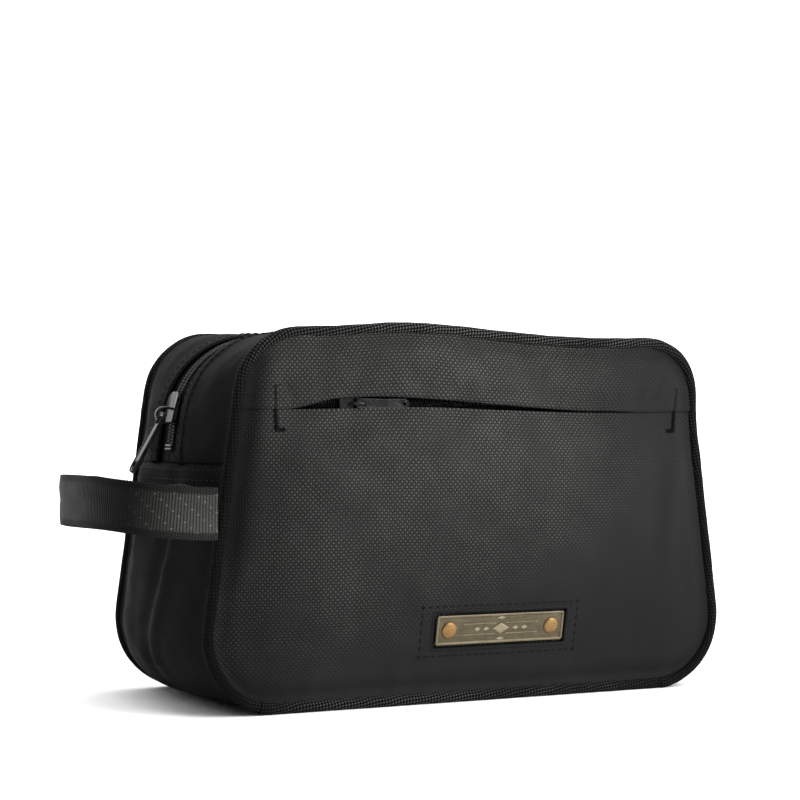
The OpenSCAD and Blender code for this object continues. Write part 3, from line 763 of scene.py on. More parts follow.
lower = panelObject("front_lower", lowLevels, columns, 1, frontCanvas, inWindow)
thicken(outward(lower), 0.0007)
finishMesh(lower, "bag", ["front_panel_lower"], "canvas")


def upLevel(share, dz, sink):
    top = height - 0.0031

    def level(x):
        lip = upperLip(x)
        return lip + dz + (top - lip - 0.0016) * share, sink
    return level


upShares = [i / 17 for i in range(18)]
upRoll = [upLevel(0, -dz, sink) for dz, sink in reversed(lipRoll)]
upLevels = upRoll + [upLevel(share, 0.0016, 0) for share in upShares]
upper = panelObject("front_upper", upLevels, columns, 1, frontCanvas)
thicken(outward(upper), 0.0007)
finishMesh(upper, "bag", ["front_panel_upper"], "canvas")

backLevels = [(z, 0.0) for z in stations([0.0031, height - 0.0031], 0.003)]
backCols = stations([-0.135, -0.080, 0.080, 0.135], 0.003)
back = panelObject("back_canvas", backLevels, backCols, -1, backCanvas)
thicken(outward(back), 0.0007)
finishMesh(back, "bag", ["back_panel"], "canvas")
print("stage: panels")

# ---------- gusset ----------

gusset = {"skin": 0.0015, "crease": 0.0013, "hem": 0.0006, "hemWide": 0.0072, "zipEdge": 0.011}
pathSteps = {"side": 12, "corner": 30, "shoulder": 3, "top": 40}   # the middle folds past the shoulder
topR = bag["topRadius"]
midR = bag["zipRadius"]
lowR = bag["bottomRadius"]


def fullness(y):
    # 0 at the piping to 1 where the gusset is fullest
    u = (gussetY - bag["flatEdge"] - abs(y)) / (gussetY - bag["flatEdge"] - bag["fullHalf"])
    u = min(1, max(0, u))
    return 1 - (1 - u) ** 2


def wallSpot(swell, z, inset):
    return (wallX(swell, z, 0) - inset * leanCos, z - inset * leanSin)


def topPath(swell, radius, inset):
    # right half, from the seam up round the corner to the middle of the top
    lean = bag["endLean"]
    cx = cornerX(swell, radius)
    cz = height - radius
    reach = radius - inset
    start = (cx + reach * leanCos, cz + reach * leanSin)
    arc = arcPoints(cx, cz, reach, lean, math.pi / 2, pathSteps["corner"])
    foot = wallSpot(swell, seamZ, inset)
    flat = (mouthHalf, height - inset)
    end = (0, height - inset)
    side = [foot] + linePoints(foot, start, pathSteps["side"]) + arc
    over = linePoints(arc[-1], flat, pathSteps["shoulder"]) + [flat]
    return side + over + linePoints(flat, end, pathSteps["top"]) + [end]


def basePath(swell, inset, low):
    # right half, from the seam down round the corner to the middle of the base
    cx = halfWidth + swell - lowR
    cz = lowR - (inset - low) if low else lowR
    arc = arcPoints(cx, cz, lowR - inset, bag["endLean"], -math.pi / 2, 26)
    foot = wallSpot(swell, seamZ, inset)
    end = (0, arc[-1][1])
    return [foot] + linePoints(foot, arc[0], 34) + arc + linePoints(arc[-1], end, 34) + [end]


def gussetPoint(edge, mid, y, out, sign):
    # between the edge's path and the fullest path, pushed out from the bag's middle
    f = fullness(y)
    x = edge[0] * (1 - f) + mid[0] * f
    z = edge[1] * (1 - f) + mid[1] * f
    fromX, fromZ = x - 0.07, z - 0.085
    size = math.hypot(fromX, fromZ) or 1
    x += out * fromX / size * (1 if abs(x) > 0.085 else 0)
    z += out * fromZ / size * (1 if z > 0.02 else 0)
    return settle((sign * x, y, max(0.0003, z)))


def sideWrinkle(sign, y, z):
    calm = smooth(gussetY, gussetY - 0.008, abs(y))
    out = gusset["crease"] * (rough(y * 0.9, z, sign, 0.030, 11) + 0.5 * rough(y, z * 1.6, sign, 0.012, 12))
    # the broad upright fold that swings forward as it goes down
    centre = -0.030 + 0.25 * (0.10 - z)
    out += 0.0026 * bump(y, centre, 0.007) * smooth(0.112, 0.085, z) * smooth(0.0, 0.03, z)
    out -= 0.0020 * bump(y, centre + 0.013, 0.007) * smooth(0.112, 0.085, z)
    out -= 0.0016 * bump(z, seamZ, 0.0022)
    return out * calm


def hemLift(y):
    # the turned edge beside the zip, two layers thick out to its second stitch line
    far = abs(y) - gusset["zipEdge"]
    wide = gusset["hemWide"]
    return gusset["hem"] * smooth(-0.0002, 0.0008, far) * smooth(wide + 0.0012, wide - 0.0002, far)


def topFold(sign, y, z):
    # the folds of the top gusset fade beside the zip, where its turned edge lies
    out = sideWrinkle(sign, y, z) * smooth(0.0, 0.02, abs(abs(y) - gusset["zipEdge"]) + 0.003) + hemLift(y)
    return out * (smooth(gusset["zipEdge"] - 0.001, gusset["zipEdge"] + 0.004, abs(y)) * 0.75 + 0.25)


def strip(name, edge, mid, ys, sign, span, top):
    low, high = span
    rows, uvRows = [], []
    for y in ys:
        row, uvRow, along = [], [], 0
        for i in range(low, high + 1):
            x, z = mid[i]
            out = topFold(sign, y, z) if top else sideWrinkle(sign, y, z)
            p = gussetPoint(edge[i], mid[i], y, out, sign)
            if top and abs(x) < 0.085:
                p.z += hemLift(y)
            if row:
                along += math.dist(mid[i], mid[i - 1])
            row.append(p)
            uvRow.append((along, y))
        if low:
            shift = sum(math.dist(mid[k], mid[k - 1]) for k in range(1, low + 1))
            uvRow = [(u + shift, v) for u, v in uvRow]
        rows.append(row)
        uvRows.append(uvRow)
    return thicken(outward(gridObject(name, rows, uvRows, sideCanvas)), 0.0009)


def foldWith(piece, face, sign):
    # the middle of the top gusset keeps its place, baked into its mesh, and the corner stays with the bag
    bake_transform(piece)


edgeTop = topPath(0, topR, gusset["skin"])
midTop = topPath(endBulge, midR, gusset["skin"])
cutAt = pathSteps["side"] + pathSteps["corner"] + pathSteps["shoulder"] + 1
edgeBase = basePath(0, gusset["skin"], 0)
midBase = basePath(endBulge, gusset["skin"], gusset["skin"])
topLast = len(edgeTop) - 1
baseYs = stations([-gussetY, gussetY], 0.0022)
for sign, side in ((-1, "left"), (1, "right")):
    half = strip(f"gusset_base_{side}", edgeBase, midBase, baseYs, sign, (0, len(edgeBase) - 1), False)
    finishMesh(half, "bag", ["bottom_gusset"], "canvas")
    for face, rows in (("front", (-gussetY, -zipShow)), ("back", (zipShow, gussetY))):
        ys = stations(list(rows), 0.0014)
        corner = strip(f"gusset_{face}_{side}", edgeTop, midTop, ys, sign, (0, cutAt), True)
        finishMesh(corner, "bag", [f"gusset_corner_{face}_{side}"], "canvas")
        flap = strip(f"mouth_{face}_{side}", edgeTop, midTop, ys, sign, (cutAt, topLast), True)
        foldWith(flap, face, sign)
        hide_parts(f"mouth_flap_{face}")
print("stage: gusset")

# ---------- piping ----------

piping = {"radius": 0.0025, "lumps": 0.00022, "steps": 620, "joints": (-0.106, 0.104), "sleeve": 1.12}


def outlineLoop(inset):
    lean = bag["endLean"]
    right = arcPoints(halfWidth - lowR, lowR, lowR - inset, -math.pi / 2, lean, 24)
    right += arcPoints(cornerX(0, topR), height - topR, topR - inset, lean, math.pi / 2, 24)
    return right + [(-x, z) for x, z in reversed(right)]


def evenLoop(points, count):
    # the same loop with its points at even steps
    points = points + [points[0]]
    spans = [math.dist(a, b) for a, b in zip(points, points[1:])]
    total = sum(spans)
    out, k, done = [], 0, 0
    for i in range(count):
        want = total * i / count
        while done + spans[k] < want:
            done += spans[k]
            k += 1
        t = (want - done) / spans[k] if spans[k] else 0
        a, b = points[k], points[k + 1]
        out.append((a[0] + (b[0] - a[0]) * t, a[1] + (b[1] - a[1]) * t))
    return out


for face, y in (("front", frontY + piping["radius"]), ("back", backY - piping["radius"])):
    loop = evenLoop(outlineLoop(piping["radius"]), piping["steps"])
    path = [settle((x, y + 0.0003 * rough(x, z, y, 0.02, 21), z)) for x, z in loop]

    def lump(i, along):
        across = piping["radius"] + piping["lumps"] * rough(along, 0, y, 0.009, 22)
        return across, piping["radius"] + piping["lumps"] * rough(along, 1, y, 0.007, 23)

    tube = tubeObject(f"piping_{face}", path, lump, 14, pipingCanvas)
    finishMesh(tube, "bag", [f"{face}_piping"], "piping")
    # the short sleeves where the piping's ends overlap
    for k, spot in enumerate(piping["joints"]):
        near = [q for q in path if q.z < 0.02 and abs(q.x - spot) < 0.0036]
        near.sort(key=lambda q: q.x)
        wrap = (piping["radius"] * piping["sleeve"],) * 2
        name = f"piping_joint_{face}_{k}"
        sleeve = tubeObject(name, near, lambda i, along: wrap, 14, pipingCanvas, closed=False)
        finishMesh(sleeve, "bag")
print("stage: piping")

# ---------- rows of stitches and teeth ----------


def rowTree(name):
    # puts one small rounded bar at every step along a line, along the line or along a set direction
    tree = bpy.data.node_groups.new(name, "GeometryNodeTree")
    face = tree.interface
    face.new_socket("Line", in_out="INPUT", socket_type="NodeSocketGeometry")
    floats = {"Pitch": 0.0036, "Length": 0.002, "Width": 0.0007, "Height": 0.0004, "Loose": 0.1}
    for label, start in floats.items():
        face.new_socket(label, in_out="INPUT", socket_type="NodeSocketFloat").default_value = start
    face.new_socket("Follow line", in_out="INPUT", socket_type="NodeSocketBool").default_value = True
    face.new_socket("Direction", in_out="INPUT", socket_type="NodeSocketVector").default_value = (0, 1, 0)
    face.new_socket("Facing", in_out="INPUT", socket_type="NodeSocketVector").default_value = (0, -1, 0)
    face.new_socket("Seed", in_out="INPUT", socket_type="NodeSocketInt").default_value = 4
    face.new_socket("Material", in_out="INPUT", socket_type="NodeSocketMaterial")
    face.new_socket("Row", in_out="OUTPUT", socket_type="NodeSocketGeometry")

    def node(kind, settings={}, values={}):
        made = tree.nodes.new(kind)
        for key, value in settings.items():
            setattr(made, key, value)
        for key, value in values.items():
            if isinstance(value, bpy.types.NodeSocket):
                tree.links.new(value, made.inputs[key])
            else:
                made.inputs[key].default_value = value
        return made

    given = node("NodeGroupInput").outputs
    curve = node("GeometryNodeMeshToCurve", {}, {"Mesh": given["Line"]})
    spacing = {"Curve": curve.outputs[0], "Length": given["Pitch"]}
    steps = node("GeometryNodeResampleCurve", {"mode": "LENGTH"}, spacing)
    ball = node("GeometryNodeMeshUVSphere", {}, {"Segments": 8, "Rings": 5, "Radius": 0.5})
    tangent = node("GeometryNodeInputTangent")
    ways = {0: given["Follow line"], 1: given["Direction"], 2: tangent.outputs[0]}
    pick = node("GeometryNodeSwitch", {"input_type": "VECTOR"}, ways)
    laid = node("FunctionNodeAlignRotationToVector", {"axis": "X"}, {"Vector": pick.outputs[0]})
    outer = {"Rotation": laid.outputs[0], "Vector": given["Facing"]}
    turned = node("FunctionNodeAlignRotationToVector", {"axis": "Z", "pivot_axis": "X"}, outer)
    low = node("ShaderNodeMath", {"operation": "SUBTRACT"}, {0: 1.0, 1: given["Loose"]})
    high = node("ShaderNodeMath", {"operation": "ADD"}, {0: 1.0, 1: given["Loose"]})
    between = {2: low.outputs[0], 3: high.outputs[0], 8: given["Seed"]}
    vary = node("FunctionNodeRandomValue", {"data_type": "FLOAT"}, between)
    size = node("ShaderNodeCombineXYZ", {}, {0: given["Length"], 1: given["Width"], 2: given["Height"]})
    grown = {0: size.outputs[0], "Scale": vary.outputs[1]}
    scale = node("ShaderNodeVectorMath", {"operation": "SCALE"}, grown)
    bars = node("GeometryNodeInstanceOnPoints", {}, {
        "Points": steps.outputs[0], "Instance": ball.outputs[0],
        "Rotation": turned.outputs[0], "Scale": scale.outputs[0],
    })
    real = node("GeometryNodeRealizeInstances", {}, {"Geometry": bars.outputs[0]})
    soft = node("GeometryNodeSetShadeSmooth", {}, {"Geometry": real.outputs[0]})
    paint = node("GeometryNodeSetMaterial", {}, {"Geometry": soft.outputs[0], "Material": given["Material"]})
    node("NodeGroupOutput", {}, {0: paint.outputs[0]})
    return tree


rowOf = rowTree("row of bars")


def barRow(name, lines, material, **values):
    # bars along each line; a Direction lays them that way and not along the line
    if "Direction" in values:
        values["Follow line"] = False
    verts, edges = [], []
    for line in lines:
        first = len(verts)
        verts += [Vector(p) for p in line]
        edges += [(first + i, first + i + 1) for i in range(len(line) - 1)]
    mesh = bpy.data.meshes.new(name)
    mesh.from_pydata(verts, edges, [])
    obj = bpy.data.objects.new(name, mesh)
    bpy.context.collection.objects.link(obj)
    live = obj.modifiers.new("row", "NODES")
    live.node_group = rowOf
    ids = {item.name: item.identifier for item in rowOf.interface.items_tree if item.in_out == "INPUT"}
    for key, value in values.items():
        live[ids[key]] = value
    live[ids["Material"]] = material
    return baked(obj)


def flatPart(name, loops, half, edge, place, material):
    # a flat metal part with holes: loops are its outline and its holes, place puts (u, v, height) in the bag
    curve = bpy.data.curves.new(name, "CURVE")
    curve.dimensions = "2D"
    curve.fill_mode = "BOTH"
    curve.extrude = half - edge
    curve.bevel_depth = edge
    curve.bevel_resolution = 2
    for loop in loops:
        spline = curve.splines.new("POLY")
        spline.points.add(len(loop) - 1)
        for point, (u, v) in zip(spline.points, loop):
            point.co = (u, v, 0, 1)
        spline.use_cyclic_u = True
    holder = bpy.data.objects.new(name, curve)
    bpy.context.collection.objects.link(holder)
    graph = bpy.context.evaluated_depsgraph_get()
    mesh = bpy.data.meshes.new_from_object(holder.evaluated_get(graph))
    bpy.data.objects.remove(holder)
    for v in mesh.vertices:
        v.co = place(v.co.x, v.co.y, v.co.z)
    obj = newObject(name, mesh, material)
    outward(obj, 0.000001)
    # keep the broad faces flat and only round the edges
    for poly in obj.data.polygons:
        poly.use_smooth = poly.area < 2e-7
    return obj


def ringOf(cx, cy, r, steps):
    return arcPoints(cx, cy, r, 0, 2 * math.pi, steps)[:-1]


def roundedBox(cx, cz, w, h, r, steps=6):
    out = []
    for sx, sz, a in ((1, -1, -math.pi / 2), (1, 1, 0), (-1, 1, math.pi / 2), (-1, -1, math.pi)):
        for i in range(steps + 1):
            t = a + math.pi / 2 * i / steps
            out.append((cx + sx * (w / 2 - r) + r * math.cos(t), cz + sz * (h / 2 - r) + r * math.sin(t)))
    return out


def joined(name, parts):
    # several meshes as one piece
    work = bmesh.new()
    inks = []
    for part in parts:
        first = len(inks)
        inks += list(part.data.materials)
        count = len(work.faces)
        work.from_mesh(part.data)
        work.faces.ensure_lookup_table()
        for face in work.faces[count:]:
            face.material_index += first
        bpy.data.objects.remove(part)
    mesh = bpy.data.meshes.new(name)
    work.to_mesh(mesh)
    work.free()
    obj = bpy.data.objects.new(name, mesh)
    bpy.context.collection.objects.link(obj)
    for ink in inks:
        mesh.materials.append(ink)
    return obj


def bar(name, path, radius, material, sides=8):
    # a thin round bar along any path
    rows, uvRows = [], []
    for i, here in enumerate(path):
        ahead = path[min(i + 1, len(path) - 1)]
        behind = path[max(i - 1, 0)]
        tangent = (Vector(ahead) - Vector(behind)).normalized()
        side = Vector((0, 1, 0)) if abs(tangent.y) < 0.9 else Vector((1, 0, 0))
        up = tangent.cross(side).normalized()
        side = up.cross(tangent).normalized()
        ring = arcPoints(0, 0, radius, 0, 2 * math.pi, sides)
        rows.append([Vector(here) + side * across + up * tall for across, tall in ring])
        uvRows.append([(i * 0.001, 2 * math.pi * k / sides * radius) for k in range(sides + 1)])
    return outward(gridObject(name, rows, uvRows, material), 0.00001)


# ---------- main zip ----------

zipper = {
    "pitch": 0.00150, "length": 0.0048, "width": 0.000694, "height": 0.0015,   # one tooth of the coil
    "row": 0.0021,           # middle of a row of teeth from the middle of the zip
    "gap": 0.00015,          # the two tapes nearly meet
    "tape": 0.0005,
    "underHem": 0.004,       # tape that goes in under the turned edge
    "bottom": 0.009,         # the coil ends this far over the seam
    "stop": 0.0016,          # spacing of the end stop's two bars
}
zipCx = cornerX(endBulge, midR)
zipCz = height - midR
coilEnd = seamZ + zipper["bottom"]
skinIn = bag["pipingProud"] + bag["canvas"]


def zipRibbon(name, sign, y0, y1, span):
    path = topPath(endBulge, midR, skinIn)
    part = path[span[0]:span[1] + 1]
    rows, uvRows = [], []
    for y in stations([y0, y1], 0.0011):
        rows.append([settle((sign * x, y, z)) for x, z in part])
        uvRows.append([(math.dist(p, path[0]), y) for p in part])
    return thicken(outward(gridObject(name, rows, uvRows, zipTape)), zipper["tape"])


def zipRow(name, sign, turn, span):
    path = topPath(endBulge, midR, skinIn - 0.0007)[span[0]:span[1] + 1]
    points = [settle((sign * x, turn * zipper["row"], z)) for x, z in path if z > coilEnd - 0.001]
    if turn > 0:
        # the back row's teeth sit between the front row's
        points[0] = points[0] + (points[1] - points[0]).normalized() * (zipper["pitch"] / 2)
    return barRow(
        name, [points], zipCoil, Pitch=zipper["pitch"], Length=zipper["length"], Width=zipper["width"],
        Height=zipper["height"], Loose=0.04, Direction=(0, 1, 0), Facing=(0, 0, 1))


for sign, side in ((-1, "left"), (1, "right")):
    for face, turn in (("front", -1), ("back", 1)):
        y0, y1 = sorted((turn * zipper["gap"], turn * (zipShow + zipper["underHem"])))
        corner, middle = (0, cutAt), (cutAt, topLast)
        tape = zipRibbon(f"zip_tape_{face}_{side}", sign, y0, y1, corner)
        finishMesh(tape, "bag", [f"zip_tape_{face}_{side}"], "zip_tape")
        tapeMiddle = zipRibbon(f"zip_tape_{face}_mid_{side}", sign, y0, y1, middle)
        teeth = zipRow(f"zip_teeth_{face}_{side}_corner", sign, turn, corner)
        teethMiddle = zipRow(f"zip_teeth_{face}_{side}_middle", sign, turn, middle)
        finishMesh(teeth, "bag", [f"zip_coil_{face}_{side}"], "zip_coil")
        for piece, node in ((tapeMiddle, "zip_tape"), (teethMiddle, "zip_coil")):
            foldWith(piece, face, sign)
            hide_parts(f"{node}_{face}_middle")

stops = []
for sign in (-1, 1):
    foot = wallSpot(endBulge, coilEnd - 0.0015, 0.0022)
    for k in range(2):
        down = zipper["stop"] * k
        x, z = sign * (foot[0] + down * leanSin), foot[1] - down
        path = [(x, y, z) for y in (-0.0034, -0.003, 0, 0.003, 0.0034)]
        stops.append(bar(f"stop_{sign}_{k}", path, 0.0007, blackMetal))
finishMesh(joined("zip_end_stops", stops), "bag", ["zip_stops"], "black_metal")
print("stage: main zip")

# ---------- main slider and pull ----------

slider = {
    "angle": math.radians(13.5), "radius": 0.0441,                 # where it stands round the zip's corner
    "length": 0.014, "half": 0.0056, "deep": 0.0040,
    "pivot": 0.0477, "tilt": math.radians(8), "hang": math.radians(30),
    "archAt": -0.0042, "archReach": 0.0034, "archTall": 0.0064,
}
tilt = slider["tilt"]
pivot = Vector((-zipCx - slider["pivot"] * math.cos(tilt), 0, zipCz + slider["pivot"] * math.sin(tilt)))


def onZip(s, y, h):
    # s runs up the zip, h stands off it
    a = slider["angle"] + s / slider["radius"]
    r = slider["radius"] + h
    return Vector((-zipCx - r * math.cos(a), y, zipCz + r * math.sin(a)))


def sliderOutline(grow):
    # a narrow tail below, the two cheeks above
    half, long = slider["half"] + grow, slider["length"] / 2 + grow
    right = [(-long, 0.0030 + grow), (-long * 0.9, 0.0042 + grow), (-long * 0.3, half * 0.9)]
    right += [(long * 0.1, half), (long * 0.55, half), (long * 0.85, half * 0.86)]
    right += [(long, half * 0.45), (long * 0.96, 0.0010)]
    return right + [(s, -y) for s, y in reversed(right)]


def smoothLoop(points, rounds=2):
    # cuts the corners of a closed outline
    for _ in range(rounds):
        out = []
        for a, b in zip(points, points[1:] + points[:1]):
            out.append((a[0] * 0.75 + b[0] * 0.25, a[1] * 0.75 + b[1] * 0.25))
            out.append((a[0] * 0.25 + b[0] * 0.75, a[1] * 0.25 + b[1] * 0.75))
        points = out
    return points


def sliderPlate(name, grow, half, edge, sink):
    outline = smoothLoop(sliderOutline(grow))
    return flatPart(name, [outline], half, edge, lambda s, y, h: onZip(s, y, h - sink), blackMetal)


body = [sliderPlate("top", 0, 0.0007, 0.00035, 0.0001)]
body.append(sliderPlate("under", -0.0003, 0.0006, 0.0003, slider["deep"]))
railLine = ((-0.0060, 0.0050), (-0.003, 0.0052), (0.001, 0.0054), (0.004, 0.0053))
for turn in (-1, 1):
    body.append(bar(f"rail_{turn}", [onZip(s, turn * y, -0.0007) for s, y in railLine], 0.00062, blackMetal))
arch = []
for i in range(15):
    a = math.pi * i / 14
    s = slider["archAt"] + slider["archReach"] * math.cos(a)
    arch.append(onZip(s, 0, 0.0003 + slider["archTall"] * math.sin(a) ** 0.7))
body.append(tubeObject("crown", arch, lambda i, along: (0.0016, 0.00062), 12, blackMetal, closed=False))
body.append(bar("post", [onZip(0.0048, 0, h) for h in (-slider["deep"], -0.002, 0.0)], 0.0009, blackMetal))
finishMesh(joined("zip_slider_body", body), "zip_slider", ["main_slider"], "black_metal")


mainTab = {
    "length": 0.030, "width": 0.0074, "head": 0.0064, "hole": 0.0017,
    "eye": 0.0038, "eyeDeep": 0.0044, "barHalf": 0.00065,       # the opening that goes round the crown
    "half": 0.00055, "rim": 0.00042,
}


def pullLoops(tab):
    # the tab hangs down from its bar at v = 0; outline, eye and hole
    end, head, length = tab["width"] / 2, tab["head"] / 2, tab["length"]
    tip = arcPoints(0, end - length, end, -math.pi, 0, 20)
    waist = [(end * 0.93, -length * 0.5), (head, -0.0022)]
    waist += [(head, tab["barHalf"] * 0.4), (head - 0.0006, tab["barHalf"])]
    outline = tip + waist + [(-u, v) for u, v in reversed(waist)]
    eye = roundedBox(0, -tab["barHalf"] - tab["eyeDeep"] / 2, tab["eye"], tab["eyeDeep"], 0.0009)
    return outline, eye


def tabPart(name, tab, place, body, node):
    outline, eye = pullLoops(tab)
    holeV = tab["width"] / 2 - tab["length"]
    loops = [outline, eye, ringOf(0, holeV, tab["hole"], 28)]
    parts = [flatPart(name + "_tab", loops, tab["half"], tab["half"] * 0.5, place, blackMetal)]
    edges = (("rim", [(u * 0.9, v) for u, v in outline], tab["rim"]),
             ("eyelet", ringOf(0, holeV, tab["hole"] * 1.22, 28), tab["rim"] * 0.9))
    for side in (-1, 1):
        for label, loop, radius in edges:
            path = [place(u, v, side * tab["half"] * 0.9) for u, v in loop + loop[:2]]
            parts.append(bar(f"{name}_{label}_{side}", path, radius, blackMetal, 7))
    return finishMesh(joined(name, parts), body, [node], "black_metal")


def mainPlace(u, v, h):
    sine, cosine = math.sin(slider["hang"]), math.cos(slider["hang"])
    return pivot + Vector((h * cosine + v * sine, u, v * cosine - h * sine))


tabPart("zip_pull_tab", mainTab, mainPlace, "zip_pull", "main_pull")
print("stage: main slider")

# ---------- pocket ----------

pocket = {
    "reach": 0.0965, "pitch": 0.00125, "tooth": 0.0026, "toothWide": 0.00085, "row": 0.0013,
    "half": 0.0050,                  # half the slider's length
    "pivot": 0.003, "archReach": 0.0026, "archTall": 0.0021,
    "belly": 0.0045, "wave": 0.0007,
}
pocketTab = {
    "length": 0.025, "width": 0.0042, "head": 0.0042, "hole": 0.0010,
    "eye": 0.0022, "eyeDeep": 0.0034, "barHalf": 0.0005,
    "half": 0.00045, "rim": 0.0003,
}
pLow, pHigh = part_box("pocket_slider")
cLow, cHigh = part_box("pocket_coil_upper")
coilY = (cLow.y + cHigh.y) / 2
slitCloths = (("hem", backCanvas, "canvas", 0.0004), ("tape", zipTape, "zip_tape", 0))
for side, turn in (("upper", 1), ("lower", -1)):
    for part, material, slot, back in slitCloths:
        low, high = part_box(f"pocket_{part}_{side}")
        place = lambda x, z: Vector((x, low.y + back + 0.0002 * rough(x, z, turn, 0.02, 31), z))
        across, up = stations([low.x, high.x], 0.003), stations([low.z, high.z], 0.0014)
        made = sheetOver(f"pocket_{part}_{side}", across, up, place, material, (high.y - low.y) * 0.8)
        finishMesh(made, "bag", [f"pocket_{part}_{side}"], slot)
    z = slitMid + turn * pocket["row"]
    start = -pocket["reach"] + (pocket["pitch"] / 2 if turn > 0 else 0)
    line = [(x, coilY, z) for x in (start, 0, pocket["reach"])]
    row = barRow(
        f"pocket_teeth_{side}", [line], zipCoil, Pitch=pocket["pitch"], Length=pocket["tooth"],
        Width=pocket["toothWide"], Height=cHigh.y - cLow.y, Loose=0.03,
        Direction=(0, 0, 1), Facing=(0, -1, 0))
    finishMesh(row, "bag", [f"pocket_coil_{side}"], "zip_coil")

sliderX = (pLow.x + pHigh.x) / 2
plate = roundedBox(0, 0, 2 * pocket["half"], 2 * (pHigh.z - slitMid), 0.0014)
parts = []
sliderPlates = (("face", cLow.y - 0.0008, 0.0006, 0.00035), ("rear", pHigh.y - 0.0006, 0.0005, 0.0003))
for name, y, half, edge in sliderPlates:
    place = lambda u, v, h: Vector((sliderX + u, y + h, slitMid + v))
    parts.append(flatPart(name, [plate], half, edge, place, blackMetal))
pocketPivot = Vector((sliderX + pocket["pivot"], panelY + 0.0002, slitMid))
arch = []
for u, v in arcPoints(0, 0, 1, math.pi, 0, 12):
    arch.append(pocketPivot + Vector((pocket["archReach"] * u, -0.0001 - pocket["archTall"] * v, 0)))
foot = Vector((0, 0.0024, 0))
parts.append(bar("crown", [arch[0] + foot] + arch + [arch[-1] + foot], 0.00075, blackMetal))
post = [(sliderX - 0.0035, y, slitMid) for y in (cLow.y - 0.001, cLow.y + 0.001, pHigh.y - 0.0004)]
parts.append(bar("post", post, 0.0006, blackMetal))
finishMesh(joined("pocket_slider_body", parts), "pocket_zip_slider", ["pocket_slider"], "black_metal")
pocketPlace = lambda u, v, h: pocketPivot + Vector((-v, -h, u))
tabPart("pocket_pull_tab", pocketTab, pocketPlace, "pocket_zip_pull", "pocket_pull")

# the pocket's own bag: a flat sack with a soft belly
sackLow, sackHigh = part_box("pocket_bag")


def sackPoint(x, z):
    edge = min(x - sackLow.x, sackHigh.x - x, z - sackLow.z, sackHigh.z - z)
    belly = pocket["belly"] * (1 - smooth(0, 0.012, edge))
    wave = pocket["wave"] * rough(x, z, 0, 0.03, 41) * smooth(0, 0.01, edge)
    return Vector((x, sackHigh.y - 0.0002 - belly + wave, z))


across, up = stations([sackLow.x, sackHigh.x], 0.0045), stations([sackLow.z, sackHigh.z], 0.0045)
finishMesh(sheetOver("pocket_sack", across, up, sackPoint, lining, 0.0006), "bag", ["pocket_bag"], "lining")
print("stage: pocket")

# ---------- handle ----------

strap = {
    "half": 0.0114, "thick": 0.0015, "ribs": 0.00165, "ribDeep": 0.00014,
    "reach": 0.0452, "spread": 0.0600, "rise": 0.0048, "set": 0.0008,    # the loop's size and lift
    "curl": 0.0007, "ripple": 0.0005, "selvedge": 0.0003,
    "points": 400, "rows": 420,
}
strapZ = (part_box("handle_loop")[0].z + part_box("handle_loop")[1].z) / 2
strapX = wallX(0, strapZ)


def strapLine(t):
    # t runs from the front seam, out round the loop, to the back seam
    a = math.pi * (t - 0.5)
    c = max(0.0, math.cos(a))
    s = math.sin(a)
    x = -strapX - strap["reach"] * c ** 0.72 - strap["set"]
    y = strap["spread"] * math.copysign(abs(s) ** 0.8, s)
    return Vector((x, y, strapZ + strap["rise"] * c ** 1.4))


def strapRows():
    # rows of points at even steps along the loop, with the distance run to each
    last = strap["points"]
    line = [strapLine(i / last) for i in range(last + 1)]
    spans = [0]
    for a, b in zip(line, line[1:]):
        spans.append(spans[-1] + (b - a).length)
    k = 0
    for i in range(strap["rows"] + 1):
        want = spans[-1] * i / strap["rows"]
        while k < last - 1 and spans[k + 1] < want:
            k += 1
        here = line[k].lerp(line[k + 1], (want - spans[k]) / max(1e-9, spans[k + 1] - spans[k]))
        ahead = (line[min(last, k + 2)] - line[max(0, k - 1)]).normalized()
        yield want, here, ahead


rows, uvRows = [], []
for run, here, ahead in strapRows():
    out = Vector((0, 0, 1)).cross(ahead).normalized()
    up = out.cross(ahead).normalized()
    up = up if up.z > 0 else -up
    wide = strap["half"] + strap["ribDeep"] * math.sin(2 * math.pi * run / strap["ribs"])
    curl = strap["curl"] * rough(run, 0, 0, 0.03, 51)
    row, uvRow = [], []
    for v in (-1, -0.97, -0.86, -0.72, -0.5, -0.25, 0, 0.25, 0.5, 0.72, 0.86, 0.97, 1):
        lift = curl * v * v + strap["ripple"] * rough(run, v, 0, 0.02, 52)
        lift -= strap["selvedge"] * smooth(0.9, 1, abs(v))
        row.append(here + up * (wide * v) + out * lift)
        uvRow.append((run, strap["half"] * v))
    rows.append(row)
    uvRows.append(uvRow)
loop = thicken(outward(gridObject("handle_strap", rows, uvRows, webbing)), strap["thick"])
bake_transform(loop)
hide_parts("handle_root_front", "handle_root_back", "handle_loop")
print("stage: handle")

# ---------- nameplate ----------

plateOut = puff(plateAt["x"], plateAt["z"]) - 0.0004
platePos = panelY - plateOut


def stack(name, loops, material, smoothAll=False):
    # a solid built of rings, each a list of (x, z) points with its y, and closed by a flat face
    verts, faces = [], []
    count = len(loops[0][0])
    for loop, y in loops:
        verts += [(x, y - plateLean["slope"] * (z - plateAt["z"]), z) for x, z in loop]
    for j in range(len(loops) - 1):
        for i in range(count):
            a, b = j * count + i, j * count + (i + 1) % count
            faces.append((a, b, b + count, a + count))
    faces.append(tuple(range((len(loops) - 1) * count, len(loops) * count)))
    faces.append(tuple(reversed(range(count))))
    mesh = bpy.data.meshes.new(name)
    mesh.from_pydata(verts, [], faces)
    obj = outward(newObject(name, mesh, material))
    for poly in obj.data.polygons:
        poly.use_smooth = smoothAll and len(poly.vertices) == 4
    return obj


